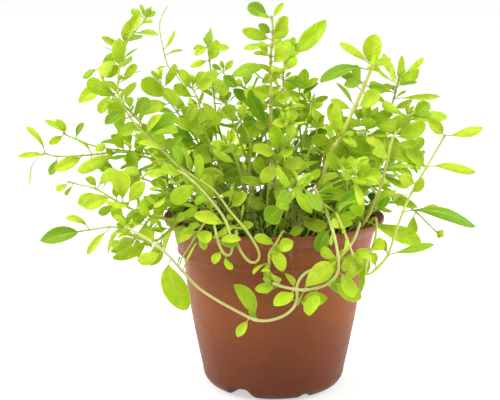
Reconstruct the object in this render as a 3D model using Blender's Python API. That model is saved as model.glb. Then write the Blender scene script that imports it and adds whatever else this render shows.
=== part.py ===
"""A marjoram in a round nursery pot: the pot, its potting mix and the shoots that grow from it.

Metres, +Z up. The origin is the centre of the pot's base, on the surface that the pot stands on.
-Y is the side from which the long runner is seen across the front of the pot. Each shoot is one
closed body, as it grew: a square stem whose side faces are drawn out into pairs of stalked leaves.
"""

import math
import random

import bmesh
import bpy
from mathutils import Quaternion, Vector
from mathutils.bvhtree import BVHTree

MM = 0.001
GAP = 0.3 * MM  # clearance between pieces that rest on each other
UP = Vector((0, 0, 1))
FRONT = Vector((0, -1, 0))

# Driving sizes of the pot, as radius and height
POT_HEIGHT = 94.7 * MM
WALL = 1.2 * MM
LIP_RADIUS = 60.0 * MM
BAND_TOP = (54.8 * MM, 87.6 * MM)
LIP_FOOT = (59.4 * MM, 92.2 * MM)  # the lip flares from the band to here
BAND_FOOT = (52.4 * MM, 75.2 * MM)
BODY_TOP = (49.2 * MM, 74.2 * MM)
BODY_FOOT = (39.0 * MM, 10.0 * MM)
BODY_BOW = 1.4  # 1 would be a straight taper from the top of the body to its foot
BODY_RINGS = 6
BASE_RADIUS = 29.5 * MM
POT_SIDES = 60

# Drainage: raised pockets under the edge of the base, large and small in turn
POCKETS = 6
FIRST_POCKET = math.radians(-31)  # turned from the front towards +X
LARGE_POCKET = (18.0 * MM, 6.4 * MM)  # width and height
SMALL_POCKET = (9.0 * MM, 3.2 * MM)
POCKET_START = 21.0 * MM
DRAIN_HOLE_RADIUS = 2.8 * MM  # one hole through the roof of each large pocket
DRAIN_HOLE_PLACE = 26.5 * MM

# The potting mix fills the pot to this height, and is slightly higher in the middle
SOIL_EDGE = 85.3 * MM
SOIL_CROWN = 86.5 * MM

# Growth
STEM_ROOT_WIDTH = 1.5 * MM
STEM_TIP_WIDTH = 0.8 * MM
LEAF_THICKNESS = 0.7 * MM
LEAF_SLIMNESS = 0.52  # width of a blade for its length
STALK_SHARE = 0.24  # share of a leaf that is its stalk
STALK_WIDTH = 0.7 * MM
CLEARANCE = 0.6 * MM  # kept between a leaf or stem and its neighbours
NODE_LENGTH = 1.5 * MM  # stretch of stem that bears a pair of leaves
LONGEST_STEP = 14.0 * MM  # between two rings of a stem
SHORTEST_STEP = 1.0 * MM
BEND_STEP = math.radians(14)  # a stem gets a ring at least each time it has turned this much
PAIR_SPACING = 15.0 * MM
TURNS = (0, 30, -30, 60, -60, 100, -100)
SHRINKS = (1.0, 0.82, 0.66)

# Each shoot: its route from the mix to its tip, in millimetres, and its own leaves, each as the
# stop on the route that bears it, how far its tip reaches from there and, for some, its width.
# "bare" is the length of stem below the first of the further pairs that fill the rest of the stem.
SHOOTS = {
    "tall_left_shoot": {
        "route": [
            (-22, -40, 87), (-20, -56, 97.5), (-19, -65, 92), (-14, -68.5, 85), (-9.5, -69, 84.5),
            (-8.5, -67, 89), (-14, -63, 98), (-23, -54, 107), (-32, -46, 117), (-48, -38, 126),
            (-58, -34, 135), (-66, -32, 142), (-75, -30, 152), (-81, -28, 164), (-80, -26, 178),
            (-77, -24, 189), (-71, -24, 197), (-66, -24, 203),
        ],
        "leaves": [
            (17, -7, 2, 5), (17, 3, -2, 8), (15.6, 5, -4, 11), (15, 4, 3, 13, 6.5), (15, -17, 2, 1, 4),
            (14.7, -11, -2, 7, 4), (14, 1, -6, 14), (14.2, -12, 3, -7), (13, -15, -5, 7), (13, -13, 4, -11),
            (12.3, -10, -8, -6), (12, 10, 4, 9), (11, 16, -5, 10), (13.4, 9, 4, 9),
        ],
        "bare": 230,
    },
    "left_shoot_1": {
        "route": [
            (-21, -18, 87), (-30, -20, 102), (-42, -18, 118), (-55, -16, 126), (-66, -14, 128),
            (-80, -12, 131), (-99, -10, 129), (-116, -8, 128), (-124, -8, 130),
        ],
        "leaves": [
            (8, -10, 2, 14, 4), (8, -14, -3, -1, 5.5), (7.7, -10, 3, -18, 3), (7, -4, -2, -10),
            (6.2, -14, -3, -7), (5.2, -21, -5, -9), (5, -13, 5, 4), (4, -9, -4, -16), (3, -6, -8, 12),
        ],
        "bare": 200,
    },
    "left_shoot_2": {
        "route": [
            (-20, 2, 87), (-33, 2, 107), (-52, 4, 122), (-72, 4, 128), (-93, 2, 131),
            (-107, 0, 136), (-114, -2, 140),
        ],
        "leaves": [
            (6, -11, 3, 7, 6.5), (6, -8, -4, -5), (5.7, -4, -3, 8), (5, 4, 2, 9, 5), (3.3, -8, -5, 18),
            (3.6, 4, 3, 13), (2.5, -10, 6, 14), (2, 4, 8, 14),
        ],
        "bare": 200,
    },
    "left_shoot_3": {
        "route": [
            (-28, -23, 87), (-41, -37, 99), (-52, -45, 101), (-64, -50, 104), (-78, -50, 110),
            (-91, -46, 117), (-100, -44, 119), (-107, -44, 121),
        ],
        "leaves": [
            (7, -6, -3, -4), (6.6, -3, -3, -6, 6), (4.6, -14, -5, -4, 13), (5, 10, 3, 10), (4, -3, 3, 17),
            (4.2, 3, -8, -9), (3, -4, -10, 9),
        ],
        "bare": 200,
    },
    "left_shoot_4": {
        "route": [
            (-36, -18, 87), (-48, -33, 98), (-55, -46, 95), (-61, -54, 92), (-70, -57, 95),
            (-81, -54, 99), (-93, -50, 97), (-103, -48, 95),
        ],
        "leaves": [
            (6.2, -12, 3, 6, 5), (6.6, -21, -3, -4, 9.5), (5.3, -11, -4, -13, 5), (4, -14, 7, -9),
            (3.4, -22, -6, -10, 9), (3, 2, 6, 16),
        ],
        "bare": 200,
    },
    "runner": {
        "route": [
            (37, -22, 87), (43, -39, 98), (42, -50, 97), (38, -58, 91), (31, -64, 85),
            (21, -67, 81), (14, -68, 78), (10.5, -68, 72), (10.5, -68, 64), (6, -67, 57.5),
            (-2, -67, 54), (-10, -67, 54), (-19, -66, 58), (-30, -65, 64), (-39, -64, 70),
            (-47, -65, 79), (-56, -65, 89), (-65, -63, 95), (-76, -60, 101),
        ],
        "leaves": [
            (8, -9, -2, 2), (8.1, 15, -4, 3), (11, -11, -3, 19), (11.4, -6, -4, -9), (15.6, 8, -5, -25, 15.5),
            (15, 7, -4, 15), (5, 14, 4, -13), (4, 7, -4, 8), (16, -13, -4, -4), (18, -6, -3, 7),
            (15.9, -14, -4, -9, 3), (15.0, -12, -4, 4, 4.5),
        ],
        "bare": 400,
    },
    "front_loop_shoot": {
        "route": [
            (-29, -35, 87), (-29, -52, 98), (-27, -63, 93), (-24, -67, 87), (-20.5, -67, 86.5),
            (-20, -66, 92), (-23, -61, 102), (-30, -57, 111), (-38, -52, 119), (-47, -47, 125),
            (-59, -44, 125), (-69, -42, 121),
        ],
        "leaves": [
            (10.6, -21, -4, -12), (9, -3, -2, 13), (8, 1, -3, 16), (8, -12, -6, -8), (2.2, 11, -7, 3),
            (2.8, -4, -7, -5), (11, -10, 5, 3), (6.6, 8, -4, -9),
        ],
        "bare": 200,
    },
    "arching_shoot": {
        "route": [
            (12, -14, 87), (15, -22, 105), (20, -34, 115), (25, -48, 108), (29, -60, 97),
            (31, -67, 86), (30, -69, 78), (24, -70, 73), (14, -71, 71), (6, -71, 72), (-2, -70, 74),
        ],
        "leaves": [
            (10, -10, -2, -2), (8, 13, -4, 14), (6.4, 14, -2, -9), (2, 12, -6, 8), (3, -8, -6, 5),
            (3.6, 13, 2, 5), (5, -9, -5, 6), (5.2, -6, -3, -8),
        ],
        "bare": 220,
    },
    "front_sprig": {
        "route": [
            (8, -36, 87), (4, -54, 97), (0, -64, 93), (-3.5, -67, 88.5), (-3.5, -68, 84), (-4, -68, 77),
        ],
        "leaves": [(4, -8, -3, -5), (5, 1, -2, -8), (2.2, -10, -6, 6), (2, 9, -8, 4)],
        "bare": 100,
    },
    "thick_right_shoot": {
        "route": [
            (10, -20, 87), (15, -24, 101), (20, -28, 114), (24, -28, 128), (29, -28, 137),
            (35, -26, 149), (41, -24, 162), (46, -22, 174), (48, -22, 178),
        ],
        "leaves": [
            (8, -17, 3, 11, 6), (8, 1, -3, 16, 11.5), (7, -26, -4, -6, 10.5), (7, 10, 5, 3), (4, -2, -5, 20),
            (3, 14, -6, -8), (4, 21, 4, -2), (2.8, -26, -9, -13), (3.6, -12, -5, 6), (1, 19, -9, 19),
            (5.4, 12, -6, 8), (6, -11, 6, 9), (6.2, 11, -5, -2), (5.2, -12, -4, 6),
        ],
        "bare": 200,
    },
    "right_shoot_1": {
        "route": [
            (40, -29, 87), (45, -34, 97), (49, -38, 106), (53, -38, 118), (56, -34, 130),
            (59, -30, 140), (64, -28, 146), (68, -26, 153),
        ],
        "leaves": [
            (1, -9, -9, 8), (1.6, 9, -6, 8), (1.1, 28, -10, -10, 11.5), (5, 16, -5, 8), (7, 11, -3, 7),
            (7, -12, 4, 7), (6.4, 22, 3, 2, 8), (4, 16, 6, 1), (3, -12, -8, 4), (4.4, -13, -6, 5),
        ],
        "bare": 200,
    },
    "right_shoot_2": {
        "route": [
            (46, -20, 87), (53, -34, 99), (52, -50, 92), (47, -63, 83), (46, -69, 77.5),
            (50, -68, 79), (57, -62, 85), (61, -56, 94), (66, -48, 105), (71, -42, 114),
            (79, -36, 126), (87, -30, 138), (89, -28, 143),
        ],
        "leaves": [
            (6.1, 22, -5, 7, 8), (5.2, -3, -4, 9), (6, -3, 3, 7), (8, 37, -4, -6, 10), (9, 5, -3, 8),
            (10, 25, -3, -2, 6.5), (10, -10, 5, 10), (12, 20, 2, 4, 8.5), (11.6, -9, -4, 9), (12, 5, 3, 7),
            (9.3, -9, -6, 5), (3.4, -12, -6, -7), (3.6, 3, -6, -9),
        ],
        "bare": 300,
    },
    "right_shoot_3": {
        "route": [
            (30, 0, 87), (41, -6, 109), (52, -8, 131), (59, -8, 145), (62, -8, 154),
            (64, -8, 162), (66, -8, 170),
        ],
        "leaves": [
            (6, 13, 3, 12, 4), (5.8, -8, 4, 14, 6.5), (5.4, -4, -6, 11), (6, 2, 5, 13, 4), (5.6, 12, 5, 9),
            (5, -14, -5, 5), (4.6, 24, -4, 2, 4.5), (4.3, 17, -5, 5, 11.5), (3, 14, 6, 3), (3, -12, -7, 6),
            (2, 14, -4, 6), (2, -11, 4, 9), (1, 10, -9, 9),
        ],
        "bare": 200,
    },
    "tall_centre_shoot": {
        "route": [
            (4, -6, 87), (1, -8, 110), (-2, -8, 131), (-2, -8, 145), (-2, -8, 157), (-2, -6, 171),
            (-2, -6, 181), (-1, -6, 190), (-1, -6, 198), (-2, -6, 203),
        ],
        "leaves": [
            (9, -12, 2, 7, 8.5), (9, 6, -2, 8, 4), (8.3, -7, -3, 2, 3), (7.4, 7, -3, 9),
            (7, -16, 2, 5, 6.5), (6.8, -15, -3, -2, 8), (7, 8, 4, 7), (6, 12, 3, 6), (6, -6, -4, 8),
            (5.8, -9, 3, 2), (3, -11, -4, 19), (2.7, -14, 4, -3), (4, 10, -7, 4), (4.2, -9, -7, 5),
            (3, 13, 5, 7), (2, 10, -9, 5),
        ],
        "bare": 200,
    },
    "tall_back_shoot": {
        "route": [
            (7, 14, 87), (8, 14, 117), (5, 13, 140), (5, 12, 157), (5, 11, 167), (6, 10, 176), (8, 9, 184),
        ],
        "leaves": [
            (6, 20, -4, 17, 11), (5, -2, 6, 12), (5, 9, 4, 7, 3), (4, 12, -4, -3), (3, -9, 9, 6),
            (4.2, -6, 8, 7), (3.4, 9, 8, 7), (2, -11, 7, 7), (2, 10, 8, 6),
        ],
        "bare": 200,
    },
    "upright_shoot_1": {
        "route": [(18, 12, 87), (18, 14, 111), (15, 15, 134), (14, 15, 150), (14, 15, 163)],
        "leaves": [
            (4, 3, 2, 11), (4, 10, -2, 6), (3.8, -9, -3, 5), (3, 13, 3, 5), (3, -3, 10, 7),
            (2, 14, -5, 5), (2, -6, 11, 5), (1, 12, 6, 8),
        ],
        "bare": 200,
    },
    "upright_shoot_2": {
        "route": [
            (-6, 12, 87), (-3, 12, 112), (-5, 10, 140), (-10, 8, 156), (-16, 6, 163), (-25, 6, 168),
            (-28, 6, 173),
        ],
        "leaves": [
            (5, 19, -3, 7), (6, 5, 3, 6), (6, -14, -3, -7), (6, -7, 4, 6), (5.2, -3, -6, -9),
            (3, 9, 8, 6), (3, -12, 4, 6), (2, 10, 7, 4), (2, -12, -5, 7), (4, 2, 8, 10),
        ],
        "bare": 200,
    },
    "upright_shoot_3": {
        "route": [
            (-17, 18, 87), (-24, 18, 116), (-31, 16, 144), (-33, 14, 161), (-35, 14, 177), (-36, 14, 186),
        ],
        "leaves": [
            (5, 1, -1, 10), (5, -8, 2, -1), (4.8, -7, -4, -4), (4.8, 11, 3, 3), (4, -10, -3, -3),
            (4, 4, 6, 11), (3, 11, -4, 6), (3, -10, 5, 7), (2, -8, -9, 6), (2, 9, 8, 7),
        ],
        "bare": 200,
    },
    "wispy_shoot": {
        "route": [
            (-22, 27, 87), (-33, 26, 120), (-41, 22, 146), (-48, 20, 160), (-53, 20, 168),
            (-58, 20, 174), (-60, 20, 181), (-62, 20, 191), (-62, 20, 198), (-60, 20, 203), (-57, 20, 207),
        ],
        "leaves": [
            (6, -5, 1, 3), (5, -6, -2, -2), (6.2, 6, 2, 10), (5.8, 10, -3, 3), (3, -5, 3, 11),
            (2, -11, 4, 8), (2, 9, 7, 8), (1.4, -10, 8, 6),
        ],
        "bare": 200,
    },
    "upright_shoot_4": {
        "route": [(-14, -6, 87), (-26, -8, 115), (-37, -10, 142), (-40, -10, 157), (-44, -10, 166)],
        "leaves": [
            (4, -6, 2, 10), (4, 6, -2, 9), (3, -6, -5, -10), (3.1, 8, -5, -9), (2.7, 14, -6, 4),
            (2, -16, -5, 6), (2, 9, 6, 9), (1.5, 12, -8, 5), (1.4, -12, -8, 6), (3.3, -12, 5, 6),
        ],
        "bare": 200,
    },
    "left_high_shoot": {
        "route": [
            (-25, -10, 87), (-40, -16, 110), (-57, -20, 132), (-72, -18, 150), (-84, -16, 162),
            (-90, -16, 171), (-92, -16, 177),
        ],
        "leaves": [
            (6, 8, 3, 8), (5.4, -9, 3, -5), (5, 10, -5, 6), (4.6, -14, -4, -9), (4, -12, 6, 4),
            (4, 5, -7, -14), (3.4, -8, -5, -15), (3, 13, 4, 7), (2.6, -14, -4, 6), (2, 9, -8, 9),
            (2, -9, 6, 12),
        ],
        "bare": 200,
    },
    "left_leafy_shoot": {
        "route": [
            (-15, 4, 87), (-30, 2, 113), (-42, 0, 136), (-52, -2, 151), (-58, -2, 160), (-61, -2, 168),
        ],
        "leaves": [
            (5, -3, -2, 8, 6), (4.3, -12, 3, 6), (4, 14, -5, 7), (3.5, -14, -4, -4),
            (3, 15, -7, 1), (3, -9, 6, 12), (2.4, 12, 6, 9), (2, -13, -7, 5), (2, 10, -9, 8),
            (1.3, -11, 6, 8),
        ],
        "bare": 200,
    },
    "right_leafy_shoot": {
        "route": [(24, -12, 87), (33, -18, 110), (41, -22, 129), (47, -24, 142), (50, -24, 151)],
        "leaves": [
            (4, -3, -2, 13), (4, 12, 3, 6), (3.4, -14, 3, 5), (3, 16, -6, 2), (3, -13, -7, -3),
            (2.4, 8, -10, 8), (2, -14, -4, 6), (2, 13, 5, 8), (1.3, 12, -8, 3), (1.2, -12, -6, 8),
        ],
        "bare": 200,
    },
    "front_leafy_shoot": {
        "route": [(-2, -26, 87), (-4, -34, 104), (-3, -40, 118), (1, -42, 130), (4, -42, 139)],
        "leaves": [
            (4, -5, -4, 12), (4, 12, -2, 5), (3.4, -14, -4, 3), (3, 13, -7, 1), (3, -8, -8, -9),
            (2.4, 15, 2, 7), (2, -15, -3, 3), (2, 9, -9, -8), (1.2, -10, -9, 5), (1.2, 12, -8, 4),
        ],
        "bare": 200,
    },
    "front_right_shoot": {
        "route": [(28, -34, 87), (33, -42, 100), (36, -48, 111), (36, -50, 121), (34, -51, 129)],
        "leaves": [
            (4, -8, -3, 9), (4, 12, -3, 7), (3, -12, -6, -4), (3, 17, -5, 6), (2.4, 6, -9, -10),
            (2, -16, -6, 3), (1.9, 14, 4, 9), (1, 14, -8, 2), (1.1, -14, -6, 3),
        ],
        "bare": 200,
    },
}

# Rings of plainer shoots that fill the plant: how many, radius of their roots on the mix, radius
# and height of their tips, and the length of their leaves. Each ring starts at its own angle.
RINGS = (
    ("inner_shoot", 6, 12, 24, 154, 16, 20),
    ("middle_shoot", 9, 26, 50, 144, 17, 5),
    ("outer_shoot", 11, 38, 80, 122, 18, 30),
    ("hanging_shoot", 7, 44, 84, 88, 16, 75),
)


def at_angle(radius, height, angle):
    """The point at this radius and height, with the angle turned from the front towards +X."""
    return Vector((radius * math.sin(angle), -radius * math.cos(angle), height))


def material(name, colour, roughness):
    """A plain finish."""
    finish = bpy.data.materials.new(name)
    finish.use_nodes = True
    shader = finish.node_tree.nodes["Principled BSDF"]
    shader.inputs["Base Color"].default_value = (*colour, 1)
    shader.inputs["Roughness"].default_value = roughness
    shader.inputs["Metallic"].default_value = 0
    return finish


def mesh_object(name, points, faces, finish=None):
    """An object made of these points and faces, in the scene."""
    mesh = bpy.data.meshes.new(name)
    mesh.from_pydata([tuple(point) for point in points], [], faces)
    mesh.update()
    made = bpy.data.objects.new(name, mesh)
    bpy.context.scene.collection.objects.link(made)
    if finish:
        mesh.materials.append(finish)
    return made


def turned(profile, sides):
    """Points and faces of a solid turned round Z from (radius, height) pairs, bottom to top.

    The profile starts and ends on the axis, where it has one point instead of a ring.
    """
    points = [Vector((0, 0, profile[0][1]))]
    for radius, height in profile[1:-1]:
        points += [at_angle(radius, height, math.tau * i / sides) for i in range(sides)]
    points.append(Vector((0, 0, profile[-1][1])))
    last = len(points) - 1
    rings = len(profile) - 2
    faces = []
    for i in range(sides):
        j = (i + 1) % sides
        faces.append((0, 1 + j, 1 + i))
        for ring in range(rings - 1):
            low = 1 + ring * sides
            faces.append((low + i, low + j, low + sides + j, low + sides + i))
        top = 1 + (rings - 1) * sides
        faces.append((top + i, top + j, last))
    return points, faces


def body_radius(height):
    """The outer radius of the pot's body, which tapers faster towards its foot."""
    share = (height - BODY_FOOT[1]) / (BODY_TOP[1] - BODY_FOOT[1])
    return BODY_FOOT[0] + (BODY_TOP[0] - BODY_FOOT[0]) * (1 - (1 - share) ** BODY_BOW)


def body_rings(inset, top):
    """Rings of the body from its foot to this height, this far in from its outside."""
    heights = [BODY_FOOT[1] + (top - BODY_FOOT[1]) * i / BODY_RINGS for i in range(BODY_RINGS + 1)]
    return [(body_radius(min(height, BODY_TOP[1])) - inset, height) for height in heights]


def outer_profile():
    """The outside of the pot, with a rounded edge to its base and a flared lip."""
    edge = [
        (
            BASE_RADIUS + (BODY_FOOT[0] - BASE_RADIUS) * math.sin(turn),
            BODY_FOOT[1] * (1 - math.cos(turn)),
        )
        for turn in (0, math.radians(30), math.radians(60))
    ]
    band = [(BAND_FOOT[0] - WALL / 2, BODY_TOP[1]), BAND_FOOT, BAND_TOP]
    lip = [LIP_FOOT, (LIP_RADIUS, POT_HEIGHT - WALL), (LIP_RADIUS, POT_HEIGHT)]
    return [(0, 0), *edge, *body_rings(0, BODY_TOP[1]), *band, *lip, (0, POT_HEIGHT)]


def inner_profile(inset, top):
    """The inside of the pot, this far in from its outside, up to the height of the last ring."""
    shoulder = BODY_TOP[1] + inset
    floor = [(BASE_RADIUS - inset / 2, inset), (BODY_FOOT[0] - inset * 1.4, BODY_FOOT[1] * 0.62)]
    low = [*floor, *body_rings(inset, shoulder), (BAND_FOOT[0] - inset, shoulder + inset / 2)]
    if top < BAND_TOP[1]:
        run = (BAND_TOP[0] - BAND_FOOT[0]) / (BAND_TOP[1] - BAND_FOOT[1])
        return [(0, inset), *low, (BAND_FOOT[0] - inset + run * (top - shoulder), top)]
    flare = [(BAND_TOP[0] - inset, BAND_TOP[1] + inset / 2), (LIP_FOOT[0] - inset, LIP_FOOT[1] + inset / 2)]
    return [(0, inset), *low, *flare, (LIP_RADIUS - inset, top), (0, top)]


def pocket_cutter(name, swell):
    """The drainage pockets as one helper: arched tunnels under the edge of the base."""
    points = []
    faces = []
    for pocket in range(POCKETS):
        width, height = (LARGE_POCKET, SMALL_POCKET)[pocket % 2]
        half = width / 2 + swell
        top = height + swell
        arch = [(half, -WALL), (half, top * 0.3), (half * 0.75, top * 0.75), (half * 0.35, top)]
        arch = [(-x, z) for x, z in arch] + [(x, z) for x, z in reversed(arch)]
        out = at_angle(1, 0, FIRST_POCKET + math.tau * pocket / POCKETS)
        side = UP.cross(out)
        first = len(points)
        for reach in (POCKET_START - swell, LIP_RADIUS):
            points += [out * reach + side * x + UP * z for x, z in arch]
        faces += prism_faces(first, len(arch))
    return helper(mesh_object(name, points, faces))


def prism_faces(first, count):
    """Faces of a prism whose two ends are rings of this many points, one after the other."""
    ends = [[first + i for i in reversed(range(count))], [first + count + i for i in range(count)]]
    rest = []
    for i in range(count):
        j = (i + 1) % count
        rest.append((first + i, first + j, first + count + j, first + count + i))
    return [*ends, *rest]


def helper(made):
    """Marks an object as a cutter, which is not part of the model."""
    made.hide_render = True
    made.display_type = "WIRE"
    fix = bmesh.new()
    fix.from_mesh(made.data)
    bmesh.ops.recalc_face_normals(fix, faces=fix.faces)
    fix.to_mesh(made.data)
    fix.free()
    return made


def cut(made, cutter):
    """Takes the cutter away from an object."""
    step = made.modifiers.new("cut " + cutter.name, "BOOLEAN")
    step.operation = "DIFFERENCE"
    step.object = cutter


def drain_cutter():
    """A hole through the roof of each large pocket."""
    points = []
    faces = []
    sides = 12
    for pocket in range(0, POCKETS, 2):
        centre = at_angle(DRAIN_HOLE_PLACE, 0, FIRST_POCKET + math.tau * pocket / POCKETS)
        first = len(points)
        for height in (LARGE_POCKET[1] / 2, LARGE_POCKET[1] + 3 * WALL):
            points += [
                centre + at_angle(DRAIN_HOLE_RADIUS, height, math.tau * i / sides) for i in range(sides)
            ]
        faces += prism_faces(first, sides)
    return helper(mesh_object("drain_cutter", points, faces))


def shade(made, sharp=35):
    """Smooth shading, with the edges over this angle kept sharp."""
    made.data.shade_smooth()
    made.data.set_sharp_from_angle(angle=math.radians(sharp))


def build_pot():
    """The pot: a thin moulded wall with a banded rim, a flared lip and drainage pockets."""
    pot = mesh_object(
        "pot", *turned(outer_profile(), POT_SIDES), material("pot plastic", (0.24, 0.085, 0.045), 0.42)
    )
    cavity = helper(mesh_object("pot_cavity", *turned(inner_profile(WALL, POT_HEIGHT + WALL), POT_SIDES)))
    cut(cavity, pocket_cutter("pocket_roofs", WALL))
    cut(pot, cavity)
    cut(pot, pocket_cutter("pockets", 0))
    cut(pot, drain_cutter())
    shade(pot)
    return pot


def build_potting_mix():
    """The mix: it fills the pot round the pocket roofs and is mounded on top."""
    profile = inner_profile(WALL + GAP, SOIL_EDGE) + [(BAND_TOP[0] * 0.45, SOIL_CROWN), (0, SOIL_CROWN)]
    mix = mesh_object(
        "potting_mix", *turned(profile, POT_SIDES), material("dark mix", (0.018, 0.013, 0.009), 0.95)
    )
    cut(mix, pocket_cutter("mix_pockets", WALL + GAP))
    shade(mix)
    return mix


def along(points, spot):
    """The point at this place, from 0 to 1, on a smooth curve between the middle two of four."""
    a, b, c, d = points
    return 0.5 * (
        2 * b
        + (c - a) * spot
        + (2 * a - 5 * b + 4 * c - d) * spot**2
        + (3 * b - a - 3 * c + d) * spot**3
    )


class Stem:
    """A smooth route with its length, and a frame of axes carried along it without twist."""

    FINE = 8  # samples between two stops of the route

    def __init__(self, route, roll):
        stops = [Vector(stop) * MM for stop in route]
        ends = [2 * stops[0] - stops[1], *stops, 2 * stops[-1] - stops[-2]]
        self.points = [
            along(ends[i : i + 4], step / self.FINE) for i in range(len(stops) - 1) for step in range(self.FINE)
        ]
        self.points.append(stops[-1])
        self.lengths = [0.0]
        for before, after in zip(self.points, self.points[1:]):
            self.lengths.append(self.lengths[-1] + (after - before).length)
        self.total = self.lengths[-1]
        self.sides = []
        heading = self.heading(0)
        side = heading.orthogonal().normalized()
        side.rotate(Quaternion(heading, roll))
        for index in range(len(self.points)):
            turned_heading = self.heading(index)
            side.rotate(heading.rotation_difference(turned_heading))
            heading = turned_heading
            side = (side - heading * side.dot(heading)).normalized()
            self.sides.append(side.copy())

    def heading(self, index):
        """The direction of growth at a sample."""
        before = self.points[max(index - 1, 0)]
        after = self.points[min(index + 1, len(self.points) - 1)]
        return (after - before).normalized()

    def place_of_stop(self, stop):
        """The length along the stem at a stop of its route, which may lie between two."""
        place = stop * self.FINE
        low = min(int(place), len(self.points) - 2)
        return self.lengths[low] + (place - low) * (self.lengths[low + 1] - self.lengths[low])

    def frame(self, place):
        """The point, the heading and the two side axes at a length along the stem."""
        place = min(max(place, 0), self.total)
        index = next((i for i, length in enumerate(self.lengths) if length >= place), len(self.lengths) - 1)
        low = max(index - 1, 0)
        span = self.lengths[low + 1] - self.lengths[low]
        share = (place - self.lengths[low]) / span if span else 0
        point = self.points[low].lerp(self.points[low + 1], share)
        heading = self.heading(low).lerp(self.heading(low + 1), share).normalized()
        side = self.sides[low].lerp(self.sides[low + 1], share)
        side = (side - heading * side.dot(heading)).normalized()
        return point, heading, side, heading.cross(side)

    def width(self, place):
        """The stem thins evenly from its root to its tip."""
        return STEM_ROOT_WIDTH + (STEM_TIP_WIDTH - STEM_ROOT_WIDTH) * place / self.total

    def steps(self, start, end):
        """Places for rings up to the end of a stretch, closer together where the stem bends."""
        places = []
        last = start
        heading = self.frame(start)[1]
        for length in self.lengths:
            if not last + SHORTEST_STEP < length < end - SHORTEST_STEP:
                continue
            here = self.frame(length)[1]
            if length - last > LONGEST_STEP or heading.angle(here) > BEND_STEP:
                places.append(length)
                last = length
                heading = here
        return [*places, end]

    def ring(self, place, swell=0.0):
        """The four corners of the square stem at this length."""
        point, _, side, other = self.frame(place)
        half = self.width(place) / 2 + swell
        return [point + side * x * half + other * y * half for x, y in ((1, -1), (1, 1), (-1, 1), (-1, -1))]

    def outward(self, place, face):
        """The direction that a side face looks to; faces 0 and 2 are opposite, and so are 1 and 3."""
        _, _, side, other = self.frame(place)
        return (side, other, -side, -other)[face]

    def tube(self, swell):
        """Points and faces of the bare stem, for keeping others away from it."""
        steps = max(2, math.ceil(self.total / (3 * MM)))
        points = [corner for step in range(steps + 1) for corner in self.ring(self.total * step / steps, swell)]
        faces = [
            (4 * step + i, 4 * step + (i + 1) % 4, 4 * step + 4 + (i + 1) % 4, 4 * step + 4 + i)
            for step in range(steps)
            for i in range(4)
        ]
        return points, [*faces, (3, 2, 1, 0), tuple(4 * steps + i for i in range(4))]


class Leaf:
    """A stalk and a blade drawn out of a side face of a stem."""

    def __init__(self, stem, place, face, reach, facing, slimness=LEAF_SLIMNESS):
        point, _, _, _ = stem.frame(place)
        self.face = face
        self.place = place
        outward = stem.outward(place, face)
        self.root = point + outward * stem.width(place) / 2
        self.tip = point + reach
        self.length = (self.tip - self.root).length
        self.outward = outward
        self.facing = facing
        self.width = self.length * slimness

    def centre(self, share):
        """A point on the leaf's midrib, which leaves the stem outwards and bends to its tip."""
        bend = self.root + self.outward * self.length * 0.25 + (self.tip - self.root) * 0.12
        return (
            self.root * (1 - share) ** 2 + bend * 2 * share * (1 - share) + self.tip * share**2
        )

    def axes(self, share):
        """The heading, the sideways axis and the upper side's direction at a share of the midrib."""
        heading = (self.centre(min(share + 0.05, 1)) - self.centre(max(share - 0.05, 0))).normalized()
        across = self.facing.cross(heading)
        if across.length < 0.2:
            across = (self.facing + UP.cross(heading) * 0.5).cross(heading)
        across.normalize()
        return heading, across, heading.cross(across)

    def section(self, share, width, thickness):
        """Four corners across the leaf, counter-clockwise about its heading."""
        centre = self.centre(share)
        _, across, upper = self.axes(share)
        corners = ((1, -1), (1, 1), (-1, 1), (-1, -1))
        return [centre + across * x * width / 2 + upper * y * thickness / 2 for x, y in corners]

    def sections(self, swell=0.0):
        """The end of the stalk and the widest part of the blade."""
        return [
            self.section(STALK_SHARE, STALK_WIDTH + swell, STALK_WIDTH * 0.8 + swell),
            self.section(0.62, self.width + swell, LEAF_THICKNESS + swell),
        ]

    def end(self, swell=0.0):
        """The short upright edge at the tip: its upper and lower point."""
        _, _, upper = self.axes(1)
        tip = self.tip + (self.tip - self.root).normalized() * swell / 2
        return [tip + upper * LEAF_THICKNESS / 2, tip - upper * LEAF_THICKNESS / 2]

    def shell(self, swell):
        """Points and faces of the leaf beyond its stalk, for keeping others away from it."""
        stalk, blade = self.sections(swell)
        points = [*stalk, *blade, *self.end(swell)]
        faces = [(i, (i + 1) % 4, 4 + (i + 1) % 4, 4 + i) for i in range(4)]
        return points, [(3, 2, 1, 0), *faces, *self.tip_faces(4, 8)]

    @staticmethod
    def tip_faces(first, end):
        """Faces that close the blade's widest section onto the edge at the tip."""
        low_right, high_right, high_left, low_left = range(first, first + 4)
        return [
            (low_right, high_right, end, end + 1),
            (high_right, high_left, end),
            (high_left, low_left, end + 1, end),
            (low_left, low_right, end + 1),
        ]


class Surroundings:
    """What has been placed so far, to keep new stems and leaves clear of it."""

    def __init__(self):
        self.pieces = []

    @staticmethod
    def boxed(points, faces):
        """A piece with its lowest and highest corners."""
        low = [min(point[axis] for point in points) for axis in range(3)]
        high = [max(point[axis] for point in points) for axis in range(3)]
        return low, high, BVHTree.FromPolygons([tuple(point) for point in points], faces)

    def add(self, points, faces):
        """Keeps a piece."""
        self.pieces.append(self.boxed(points, faces))

    def clear(self, points, faces):
        """Whether a piece would touch none of the kept ones."""
        low, high, tree = self.boxed(points, faces)
        for other_low, other_high, other_tree in self.pieces:
            if any(high[i] < other_low[i] or low[i] > other_high[i] for i in range(3)):
                continue
            if tree.overlap(other_tree):
                return False
        return True


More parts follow.
